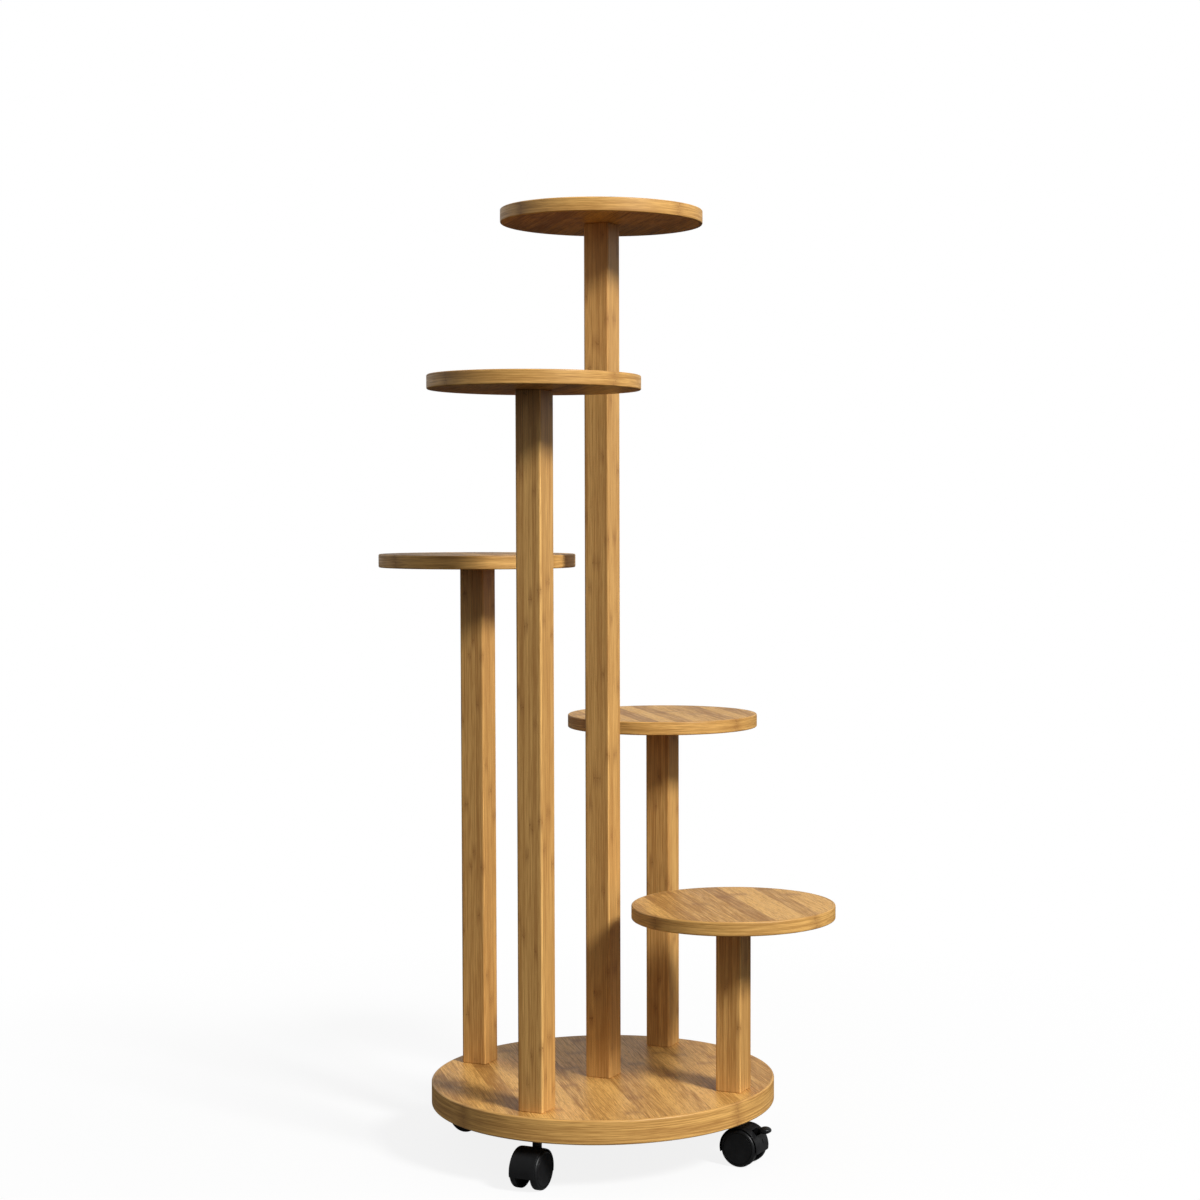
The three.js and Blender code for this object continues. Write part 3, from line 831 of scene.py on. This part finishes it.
def make_base():
    low, high = (corner.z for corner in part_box("base_edge_band"))
    board = disc(low, high, radius_of("base_board"))
    tools = []
    for tier in TIERS:
        middle = centre_of(f"post_{tier}")
        centre = tier == TIERS[-1]
        recess = BOLT_RECESS_RADIUS if centre else STEM_RECESS_RADIUS
        depth = BOLT_RECESS_DEPTH if centre else STEM_RECESS_DEPTH
        tools.append(at(rod(BASE_HOLE_RADIUS, low - CUT_MARGIN, high + CUT_MARGIN), middle))
        tools.append(at(rod(recess, low - CUT_MARGIN, low + depth), middle))
        dowel_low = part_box(f"foot_dowel_{tier}")[0].z
        tools.append(dowel_hole(tier, dowel_low - HOLE_SPARE_DEPTH, high + CUT_MARGIN))
    board = cut(board, *tools)
    middle = centre_of("base_board")
    lay_grain(board, straight_grain(middle, GRAIN_DIRECTION, 0))
    add("base_board", board, board_bamboo)
    make_band("base_edge_band", "base_board", BASE_EDGE_ROUND, base_band_bamboo, 0)


def make_band(node, board, edge_round, material, number):
    low, high = (corner.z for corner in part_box(node))
    outer = radius_of(node)
    inner = radius_of(board) + BAND_GAP
    middle = centre_of(node)
    ring = at(band(inner, outer, low, high, edge_round), middle)
    lay_grain(ring, bent_grain(middle, outer, number))
    add(node, ring, material)


def make_tray(tier):
    node = f"tray_{tier}"
    low, high = (corner.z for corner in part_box(node))
    middle = centre_of(node)
    insert_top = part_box(f"tray_insert_{tier}")[1].z
    hole = at(rod(INSERT_HOLE_RADIUS, low - CUT_MARGIN, insert_top + HOLE_SPARE_DEPTH), middle)
    board = cut(at(disc(low, high, radius_of(node)), middle), hole)
    lay_grain(board, straight_grain(middle, GRAIN_DIRECTION, tier))
    add(node, board, board_bamboo)
    make_band(f"tray_edge_band_{tier}", node, TRAY_EDGE_ROUND, tray_band_bamboo, tier)


def make_post(tier):
    node = f"post_{tier}"
    low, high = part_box(node)
    middle = centre_of(node)
    side = high.x - low.x
    levels = [
        (low.z, POST_END_EASE),
        (low.z + POST_END_EASE, 0),
        (high.z - POST_END_EASE, 0),
        (high.z, POST_END_EASE),
    ]
    sections = []
    for z, inset in levels:
        outline = rounded_square(side - 2 * inset, POST_EDGE_ROUND)
        sections.append([(x, y, z) for x, y in outline])
    bar = at(lofted(sections), middle)
    insert_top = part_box(f"foot_insert_{tier}")[1].z
    dowel_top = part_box(f"foot_dowel_{tier}")[1].z
    stud_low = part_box(f"tray_stud_{tier}")[0].z
    bar = cut(
        bar,
        at(rod(INSERT_HOLE_RADIUS, low.z - CUT_MARGIN, insert_top + HOLE_SPARE_DEPTH), middle),
        dowel_hole(tier, low.z - CUT_MARGIN, dowel_top + HOLE_SPARE_DEPTH),
        at(rod(THREAD_HOLE_RADIUS, stud_low - HOLE_SPARE_DEPTH, high.z + CUT_MARGIN), middle),
    )
    lay_grain(bar, upright_grain(middle, tier))
    add(node, bar, post_bamboo)


# Hidden joinery


def make_insert(node):
    """A brass insert: coarse wood thread outside, plain bore for the screw inside."""
    low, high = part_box(node)
    radius = (high.x - low.x) / 2
    chamfer = INSERT_THREAD_DEPTH
    side = stretch(radius, low.z + chamfer, high.z - chamfer, INSERT_PITCH / THREAD_STEPS)
    profile = [(THREAD_HOLE_RADIUS, low.z), (radius - chamfer, low.z), *side]
    profile += [(radius - chamfer, high.z), (THREAD_HOLE_RADIUS, high.z)]
    sleeve = turned(profile, ROD_SEGMENTS, ring=True)
    winding(sleeve, radius, low.z + chamfer, high.z - chamfer, INSERT_PITCH, INSERT_THREAD_DEPTH)
    add(node, at(sleeve, centre_of(node)), brass)


def make_dowel(node):
    low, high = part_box(node)
    profile = rounded(
        [
            (0, low.z, 0),
            (DOWEL_RADIUS, low.z, DOWEL_EDGE_ROUND),
            (DOWEL_RADIUS, high.z, DOWEL_EDGE_ROUND),
            (0, high.z, 0),
        ],
        closed=False,
    )
    pin = turned(profile, FLUTE_STEPS * DOWEL_FLUTES)
    fluted(pin, DOWEL_RADIUS, DOWEL_FLUTES, DOWEL_FLUTE_DEPTH)
    add(node, at(pin, centre_of(node)), dowel_beech)


def threaded_end(low, high):
    """Profile points of a threaded length with a chamfered tip at the top."""
    tip = THREAD_DEPTH
    side = stretch(THREAD_RADIUS, low, high - tip, THREAD_PITCH / THREAD_STEPS)
    return [*side, (THREAD_RADIUS - tip, high), (0, high)]


def make_stud(node):
    low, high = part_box(node)
    tip = THREAD_DEPTH
    profile = [(0, low.z), (THREAD_RADIUS - tip, low.z), *threaded_end(low.z + tip, high.z)]
    stud = turned(profile)
    winding(stud, THREAD_RADIUS, low.z + tip, high.z - tip, THREAD_PITCH, THREAD_DEPTH)
    add(node, at(stud, centre_of(node)), zinc)


def make_bolt():
    """The centre post's flange-head bolt, seen only from below."""
    low, high = (corner.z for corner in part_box("centre_bolt"))
    recess_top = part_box("base_board")[0].z + BOLT_RECESS_DEPTH
    flange_low = recess_top - BOLT_FLANGE_THICKNESS
    profile = rounded(
        [
            (0, flange_low, 0),
            (BOLT_FLANGE_RADIUS, flange_low, BOLT_FLANGE_LOW_ROUND),
            (BOLT_FLANGE_RADIUS, recess_top, BOLT_FLANGE_HIGH_ROUND),
            (THREAD_RADIUS, recess_top, 0),
        ],
        closed=False,
    )
    thread_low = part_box("base_board")[1].z - BOLT_PLAIN_LENGTH
    profile += [(THREAD_RADIUS, thread_low), *threaded_end(thread_low, high)[1:]]
    shank = turned(profile)
    winding(shank, THREAD_RADIUS, thread_low, high - THREAD_DEPTH, THREAD_PITCH, THREAD_DEPTH)
    head = rod(BOLT_HEAD_RADIUS, low, flange_low + BOLT_HEAD_OVERLAP, BOLT_HEAD_SIDES)
    crown_radius = BOLT_HEAD_RADIUS + BOLT_CROWN_MARGIN
    crown = turned(
        [
            (0, low),
            (BOLT_HEAD_RADIUS - BOLT_CROWN_INSET, low),
            (crown_radius, low + BOLT_CROWN_DEPTH),
            (crown_radius, flange_low + CUT_MARGIN),
            (0, flange_low + CUT_MARGIN),
        ]
    )
    head = combined("INTERSECT", head, [crown])
    add("centre_bolt", joined(shank, head), zinc)


def make_stem(place):
    node = f"stem_{place}"
    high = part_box(node)[1].z
    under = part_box("base_board")[0].z
    shoulder = BOSS_TOP + SWIVEL_GAP
    flange_top = under + STEM_RECESS_DEPTH
    thread_low = flange_top + STEM_PLAIN_LENGTH
    profile = rounded(
        [
            (0, PIVOT_PIN_BOTTOM, 0),
            (PIVOT_PIN_RADIUS, PIVOT_PIN_BOTTOM, PIN_TIP_ROUND),
            (PIVOT_PIN_RADIUS, GROOVE_LOW, GROOVE_ROUND),
            (GROOVE_RADIUS, GROOVE_LOW, GROOVE_ROUND),
            (GROOVE_RADIUS, GROOVE_HIGH, GROOVE_ROUND),
            (PIVOT_PIN_RADIUS, GROOVE_HIGH, GROOVE_ROUND),
            (PIVOT_PIN_RADIUS, shoulder, 0),
            (NECK_RADIUS, shoulder, NECK_ROUND),
            (NECK_RADIUS, under, NECK_ROUND),
            (STEM_FLANGE_RADIUS, under, STEM_FLANGE_LOW_ROUND),
            (STEM_FLANGE_RADIUS, flange_top, STEM_FLANGE_HIGH_ROUND),
            (THREAD_RADIUS, flange_top, 0),
        ],
        closed=False,
    )
    profile += [(THREAD_RADIUS, thread_low), *threaded_end(thread_low, high)[1:]]
    bar = turned(profile)
    winding(bar, THREAD_RADIUS, thread_low, high - THREAD_DEPTH, THREAD_PITCH, THREAD_DEPTH)
    add(node, at(bar, centre_of(node)), black_steel)


# Casters


def caster_frame(place):
    """The caster's own frame and, in it, its trail and axle height, from its joints."""
    stem = Vector(joints[f"swivel_{place}"]["pos_m"])
    axle = Vector(joints[f"spin_{place}_a"]["pos_m"])
    reach = axle - stem
    turn = Matrix.Rotation(math.atan2(reach.y, reach.x), 4, "Z")
    return Matrix.Translation((stem.x, stem.y, 0)) @ turn, reach.to_2d().length, axle.z


TRAIL, AXLE_HEIGHT = caster_frame("right")[1:]
WHEEL_RADIUS = AXLE_HEIGHT
HOOD_INNER_RADIUS = HOOD_RADIUS - HOOD_WALL
HOOD_MIDDLE_RADIUS = HOOD_RADIUS - HOOD_WALL / 2


def about_axle(radius, degrees):
    angle = math.radians(degrees)
    return TRAIL + radius * math.cos(angle), AXLE_HEIGHT + radius * math.sin(angle)


def arc(radius, from_degrees, to_degrees):
    """Points about the axle from one angle to another."""
    steps = max(2, math.ceil(abs(to_degrees - from_degrees) / SWEEP_STEP))
    span = to_degrees - from_degrees
    return [about_axle(radius, from_degrees + span * k / steps) for k in range(steps + 1)]


AXLE = about_axle(0, 0)
pivot_frame = caster_frame("right")[0].inverted() @ Vector(joints["brake_right"]["pos_m"])
LEVER_PIVOT = (pivot_frame.x, pivot_frame.z)
LEVER_TOE = about_axle(LEVER_TOE_RADIUS, LEVER_TOE_ANGLE)
LEVER_ELBOW = about_axle(LEVER_ELBOW_RADIUS, LEVER_ELBOW_ANGLE)
PAD_CENTRE = about_axle(PAD_RADIUS, PAD_ANGLE)


def hood_shell():
    """The curved cover, swept about the axle: its sides are crowned and its edges rounded."""

    def section(inset):
        half = HOOD_HALF_WIDTH - inset
        inner = HOOD_INNER_RADIUS + inset
        outer = HOOD_RADIUS - inset
        edge = HOOD_EDGE_ROUND - 0.7 * inset
        crown = []
        for k in range(1, HOOD_CROWN_STEPS + 1):
            t = k / HOOD_CROWN_STEPS
            crown.append((outer - HOOD_CROWN * (1 - t) ** 2, HOOD_SHOULDER * t - half, 0))
        side = [(inner, -half, edge), (outer - HOOD_CROWN, -half, edge), *crown]
        return rounded(side + [(x, -y, edge) for x, y, edge in side[::-1]])

    ends = []
    for end, way in ((HOOD_BACK_ANGLE, 1), (HOOD_STEM_ANGLE, -1)):
        rounding = []
        for k in range(HOOD_END_STATIONS):
            lean = math.pi / 2 * k / HOOD_END_STATIONS
            inset = HOOD_EDGE_ROUND * (1 - math.sin(lean))
            step = HOOD_EDGE_ROUND * (1 - math.cos(lean)) / HOOD_RADIUS
            rounding.append((end + way * math.degrees(step), inset))
        ends.append(rounding)
    start = HOOD_BACK_ANGLE + math.degrees(HOOD_EDGE_ROUND / HOOD_RADIUS)
    finish = HOOD_STEM_ANGLE - math.degrees(HOOD_EDGE_ROUND / HOOD_RADIUS)
    body = [(start + (finish - start) * k / HOOD_STATIONS, 0) for k in range(HOOD_STATIONS + 1)]
    rings = []
    for degrees, inset in ends[0] + body + ends[1][::-1]:
        ring = []
        for radius, y in section(inset):
            x, z = about_axle(radius, degrees)
            ring.append((x, y, z))
        rings.append(ring)
    return lofted(rings)


def lever_ear(side):
    """One of the two ears that hold the lever's trunnions, from the hood's back wall."""
    low = about_axle(HOOD_MIDDLE_RADIUS, EAR_LOW_ANGLE)
    high = about_axle(HOOD_MIDDLE_RADIUS, EAR_HIGH_ANGLE)
    x, z = LEVER_PIVOT
    nose = []
    for k in range(EAR_STEPS + 1):
        angle = math.radians(EAR_ROUND_START + (EAR_ROUND_END - EAR_ROUND_START) * k / EAR_STEPS)
        nose.append((x + EAR_RADIUS * math.cos(angle), z + EAR_RADIUS * math.sin(angle)))
    outline = [low, high, (x + EAR_RADIUS, z + EAR_RADIUS / 2), *nose]
    thickness = WEB_HALF_WIDTH - EAR_INNER_FACE
    return plate(outline, thickness / 2, side * (EAR_INNER_FACE + thickness / 2))


def opening(low_angle, high_angle, half_width, middle):
    """A cutter through the hood's wall between two angles about the axle."""
    inner = arc(HOOD_INNER_RADIUS - CUT_MARGIN, high_angle, low_angle)
    outer = arc(HOOD_RADIUS + CUT_MARGIN, low_angle, high_angle)
    return plate(outer + inner, half_width, middle)


def stem_socket():
    return turned(
        [
            (0, PIVOT_SOCKET_BOTTOM),
            (PIVOT_SOCKET_RADIUS, PIVOT_SOCKET_BOTTOM),
            (PIVOT_SOCKET_RADIUS, LIP_LOW),
            (LIP_RADIUS, LIP_LOW),
            (LIP_RADIUS, LIP_HIGH),
            (PIVOT_SOCKET_RADIUS, LIP_HIGH),
            (PIVOT_SOCKET_RADIUS, BOSS_TOP + CUT_MARGIN),
            (0, BOSS_TOP + CUT_MARGIN),
        ]
    )


def hood(braked):
    boss_profile = rounded(
        [
            (0, BOSS_BOTTOM, 0),
            (BOSS_RADIUS, BOSS_BOTTOM, 0),
            (BOSS_RADIUS, BOSS_TOP, BOSS_ROUND),
            (0, BOSS_TOP, 0),
        ],
        closed=False,
    )
    inside = cross_bar(AXLE, HOOD_INNER_RADIUS + BOSS_BITE, HOOD_HALF_WIDTH)
    boss = cut(turned(boss_profile), inside)
    web_arc = arc(HOOD_MIDDLE_RADIUS, WEB_START_ANGLE, WEB_END_ANGLE)
    web = plate([AXLE, *web_arc], WEB_HALF_WIDTH)
    axle_boss = cross_bar(AXLE, AXLE_BOSS_RADIUS, WEB_HALF_WIDTH - BOSS_STEP)
    parts = [web, axle_boss, boss]
    tools = [stem_socket(), cross_bar(AXLE, AXLE_HOLE_RADIUS, HOOD_HALF_WIDTH)]
    if braked:
        parts += [lever_ear(1), lever_ear(-1)]
        tools.append(cross_bar(LEVER_PIVOT, TRUNNION_HOLE_RADIUS, HOOD_HALF_WIDTH / 2))
        tools += [opening(*WINDOW), opening(*SMALL_SLOT)]
    return cut(joined(hood_shell(), *parts), *tools)


def wheel():
    """A cup with a capped outer face, its hub and rim towards the caster's middle."""
    rim_inside = WHEEL_RADIUS - RIM_THICKNESS
    disc_inside = WHEEL_OUTER_FACE - WHEEL_DISC_THICKNESS
    groove_floor = WHEEL_OUTER_FACE - CAP_GROOVE_DEPTH
    profile = rounded(
        [
            (0, WHEEL_BORE_END, 0),
            (WHEEL_BORE_RADIUS, WHEEL_BORE_END, 0),
            (WHEEL_BORE_RADIUS, HUB_INNER_FACE, WHEEL_LIP_ROUND),
            (HUB_RADIUS, HUB_INNER_FACE, WHEEL_LIP_ROUND),
            (HUB_RADIUS, disc_inside, WHEEL_CORNER_ROUND),
            (rim_inside, disc_inside, WHEEL_CORNER_ROUND),
            (rim_inside, WHEEL_INNER_FACE, WHEEL_LIP_ROUND),
            (WHEEL_RADIUS, WHEEL_INNER_FACE, WHEEL_INNER_ROUND),
            (WHEEL_RADIUS, WHEEL_OUTER_FACE, WHEEL_EDGE_ROUND),
            (CAP_RADIUS + CAP_GROOVE_WIDTH, WHEEL_OUTER_FACE, CAP_GROOVE_ROUND),
            (CAP_RADIUS + CAP_GROOVE_WIDTH, groove_floor, CAP_GROOVE_FLOOR_ROUND),
            (CAP_RADIUS, groove_floor, CAP_GROOVE_FLOOR_ROUND),
            (CAP_RADIUS, WHEEL_OUTER_FACE - CAP_SINK, CAP_EDGE_ROUND),
            (CAP_RADIUS - CAP_BORDER, WHEEL_OUTER_FACE - CAP_DISH, 0),
            (0, WHEEL_OUTER_FACE - CAP_DISH, 0),
        ],
        closed=False,
    )
    return moved(turned(profile, WHEEL_SEGMENTS), ACROSS)


def axle_pin():
    profile = rounded(
        [
            (0, -AXLE_END, 0),
            (AXLE_RADIUS, -AXLE_END, PIN_TIP_ROUND),
            (AXLE_RADIUS, AXLE_END, PIN_TIP_ROUND),
            (0, AXLE_END, 0),
        ],
        closed=False,
    )
    return moved(turned(profile), ACROSS)


def lever_arm(start, end):
    """A straight arm of the lever between two points, with eased edges."""
    start = Vector(start)
    end = Vector(end)
    side = (end - start).orthogonal().normalized() * LEVER_THICKNESS / 2
    corners = [start + side, start - side, end - side, end + side]
    outline = rounded([(x, z, LEVER_EDGE_ROUND) for x, z in corners])
    return plate(outline, LEVER_HALF_WIDTH)


def lever_pad():
    """The foot pad: a plump leaf, pointed at its tip, whose sections are flattened ovals."""
    middle_x, middle_z = PAD_CENTRE
    rings = []
    for s in range(PAD_STATIONS + 1):
        t = -math.cos(math.pi * s / PAD_STATIONS)
        thick = PAD_HALF_THICKNESS * max(PAD_TIP_THICKNESS, (1 - t * t) ** PAD_TAPER)
        wide = PAD_HALF_WIDTH * max(PAD_TIP_WIDTH, (1 - abs(t) ** PAD_LEAF) ** PAD_SHOULDER)
        ring = []
        for k in range(PAD_SEGMENTS):
            angle = math.tau * k / PAD_SEGMENTS
            across = math.copysign(abs(math.cos(angle)) ** PAD_SQUARENESS, math.cos(angle))
            up = math.copysign(abs(math.sin(angle)) ** PAD_SQUARENESS, math.sin(angle))
            ring.append((middle_x + PAD_HALF_LENGTH * t, wide * across, middle_z + thick * up))
        rings.append(ring)
    return lofted(rings)


def brake_lever():
    """From the brake bar past the trunnions, up through the hood's window and out to the pad."""
    return joined(
        lever_pad(),
        lever_arm(LEVER_TOE, LEVER_PIVOT),
        lever_arm(LEVER_PIVOT, LEVER_ELBOW),
        lever_arm(LEVER_ELBOW, PAD_CENTRE),
        cross_bar(LEVER_ELBOW, LEVER_THICKNESS / 2, LEVER_HALF_WIDTH),
        cross_bar(LEVER_PIVOT, LEVER_HUB_RADIUS, LEVER_HALF_WIDTH),
        cross_bar(LEVER_PIVOT, TRUNNION_RADIUS, TRUNNION_END),
        cross_bar(LEVER_TOE, BRAKE_BAR_RADIUS, BRAKE_BAR_END),
    )


def make_caster(place, hood_mesh, wheel_mesh, axle_mesh, lever_mesh):
    stance = caster_frame(place)[0]
    at_axle = stance @ Matrix.Translation((TRAIL, 0, AXLE_HEIGHT))
    add(f"hood_{place}", moved(hood_mesh.copy(), stance), black_nylon)
    add(f"axle_{place}", moved(axle_mesh.copy(), at_axle), zinc)
    for side, turn in (("a", math.pi), ("b", 0)):
        facing = at_axle @ Matrix.Rotation(turn, 4, "X")
        add(f"wheel_{place}_{side}", moved(wheel_mesh.copy(), facing), black_nylon)
    if place in BRAKED:
        add(f"brake_lever_{place}", moved(lever_mesh.copy(), stance), black_nylon)


def make_casters():
    hoods = {True: hood(True), False: hood(False)}
    wheel_mesh = wheel()
    axle_mesh = axle_pin()
    lever_mesh = brake_lever()
    for place in PLACES:
        make_caster(place, hoods[place in BRAKED], wheel_mesh, axle_mesh, lever_mesh)


make_base()
make_bolt()
for tier in TIERS:
    make_tray(tier)
    make_post(tier)
    make_insert(f"foot_insert_{tier}")
    make_insert(f"tray_insert_{tier}")
    make_dowel(f"foot_dowel_{tier}")
    make_stud(f"tray_stud_{tier}")
for place in PLACES:
    make_stem(place)
make_casters()


# Studio


def make_floor():
    """A pale floor that fades into the white surround. For bounced light only the patch round
    the casters is pale, so that they are lit from below and the trays' undersides stay dark."""
    mesh = turned([(0, 0), (FLOOR_INNER_RING, 0), (FLOOR_RADIUS, 0)], FLOOR_SEGMENTS)
    floor = bpy.data.objects.new("floor", mesh)
    bpy.context.scene.collection.objects.link(floor)
    material = bpy.data.materials.new("pale_floor")
    material.use_nodes = True
    tree = material.node_tree
    tree.nodes.clear()
    new = tree.nodes.new
    link = tree.links.new
    place = new("ShaderNodeTexCoord")
    distance = new("ShaderNodeVectorMath")
    distance.operation = "LENGTH"
    link(place.outputs["Object"], distance.inputs[0])

    def ramp(*numbers):
        node = new("ShaderNodeMapRange")
        node.interpolation_type = "SMOOTHSTEP"
        for socket, number in zip(list(node.inputs)[1:], numbers):
            socket.default_value = number
        link(distance.outputs["Value"], node.inputs[0])
        return node.outputs[0]

    lit = new("ShaderNodeBsdfDiffuse")
    lit.inputs["Color"].default_value = (FLOOR_WHITE, FLOOR_WHITE, FLOOR_WHITE, 1)
    glow = new("ShaderNodeEmission")
    fade = new("ShaderNodeMixShader")
    link(ramp(FADE_START, FADE_END, FADE_NEAR, 1.0), fade.inputs[0])
    link(lit.outputs[0], fade.inputs[1])
    link(glow.outputs[0], fade.inputs[2])
    bounce = new("ShaderNodeBsdfDiffuse")
    link(ramp(BOUNCE_START, BOUNCE_END, BOUNCE_NEAR, BOUNCE_FAR), bounce.inputs["Color"])
    path = new("ShaderNodeLightPath")
    seen = new("ShaderNodeMixShader")
    link(path.outputs["Is Camera Ray"], seen.inputs[0])
    link(bounce.outputs[0], seen.inputs[1])
    link(fade.outputs[0], seen.inputs[2])
    output = new("ShaderNodeOutputMaterial")
    link(seen.outputs[0], output.inputs["Surface"])
    mesh.materials.append(material)


def make_surround():
    """White behind the object, and soft light all round it: stronger from the sides and,
    for what shines back off a surface, from behind the object."""
    world = bpy.data.worlds.new("studio")
    bpy.context.scene.world = world
    world.use_nodes = True
    tree = world.node_tree
    tree.nodes.clear()
    new = tree.nodes.new
    link = tree.links.new
    way = new("ShaderNodeSeparateXYZ")
    link(new("ShaderNodeTexCoord").outputs["Generated"], way.inputs[0])

    def math_node(operation, *values):
        node = new("ShaderNodeMath")
        node.operation = operation
        for socket, value in zip(node.inputs, values):
            if isinstance(value, bpy.types.NodeSocket):
                link(value, socket)
            else:
                socket.default_value = value
        return node.outputs[0]

    path = new("ShaderNodeLightPath")
    sideways = math_node("MULTIPLY", way.outputs["X"], way.outputs["X"])
    behind = math_node("MAXIMUM", way.outputs["Y"], 0.0)
    shine = math_node("MULTIPLY", behind, path.outputs["Is Glossy Ray"])
    strength = math_node("MULTIPLY_ADD", sideways, SIDE_LIGHT, SKY_LIGHT)
    strength = math_node("MULTIPLY_ADD", shine, BACK_SHINE, strength)
    light = new("ShaderNodeBackground")
    link(strength, light.inputs["Strength"])
    light.inputs["Color"].default_value = (1, 1, 1, 1)
    white = new("ShaderNodeBackground")
    white.inputs["Color"].default_value = (1, 1, 1, 1)
    choose = new("ShaderNodeMixShader")
    link(path.outputs["Is Camera Ray"], choose.inputs[0])
    link(light.outputs[0], choose.inputs[1])
    link(white.outputs[0], choose.inputs[2])
    output = new("ShaderNodeOutputWorld")
    link(choose.outputs[0], output.inputs["Surface"])


def make_key_light():
    data = bpy.data.lights.new("key", "AREA")
    data.shape = "DISK"
    data.size = KEY_SIZE
    data.energy = KEY_POWER
    key = bpy.data.objects.new("key", data)
    key.location = (
        KEY_REACH * math.cos(KEY_AZIMUTH),
        KEY_REACH * math.sin(KEY_AZIMUTH),
        KEY_HEIGHT,
    )
    towards = Vector((0, 0, AIM_HEIGHT)) - key.location
    key.rotation_mode = "QUATERNION"
    key.rotation_quaternion = towards.to_track_quat("-Z", "Y")
    bpy.context.scene.collection.objects.link(key)


def make_camera():
    heading = CAMERA_AZIMUTH + CAMERA_YAW
    forward = Vector(
        (
            -math.sin(heading) * math.cos(CAMERA_PITCH),
            math.cos(heading) * math.cos(CAMERA_PITCH),
            math.sin(CAMERA_PITCH),
        )
    )
    right = forward.cross(Vector((0, 0, 1))).normalized()
    up = right.cross(forward)
    rolled_right = right * math.cos(CAMERA_ROLL) + up * math.sin(CAMERA_ROLL)
    rolled_up = up * math.cos(CAMERA_ROLL) - right * math.sin(CAMERA_ROLL)
    data = bpy.data.cameras.new("camera")
    data.lens = CAMERA_LENS
    data.shift_x, data.shift_y = CAMERA_SHIFT
    camera = bpy.data.objects.new("camera", data)
    turn = Matrix((rolled_right, rolled_up, -forward)).transposed().to_4x4()
    spot = (
        CAMERA_DISTANCE * math.sin(CAMERA_AZIMUTH),
        -CAMERA_DISTANCE * math.cos(CAMERA_AZIMUTH),
        CAMERA_HEIGHT,
    )
    camera.matrix_world = Matrix.Translation(spot) @ turn
    bpy.context.scene.collection.objects.link(camera)
    bpy.context.scene.camera = camera


make_floor()
make_surround()
make_key_light()
make_camera()
bpy.context.scene.view_settings.view_transform = "Standard"
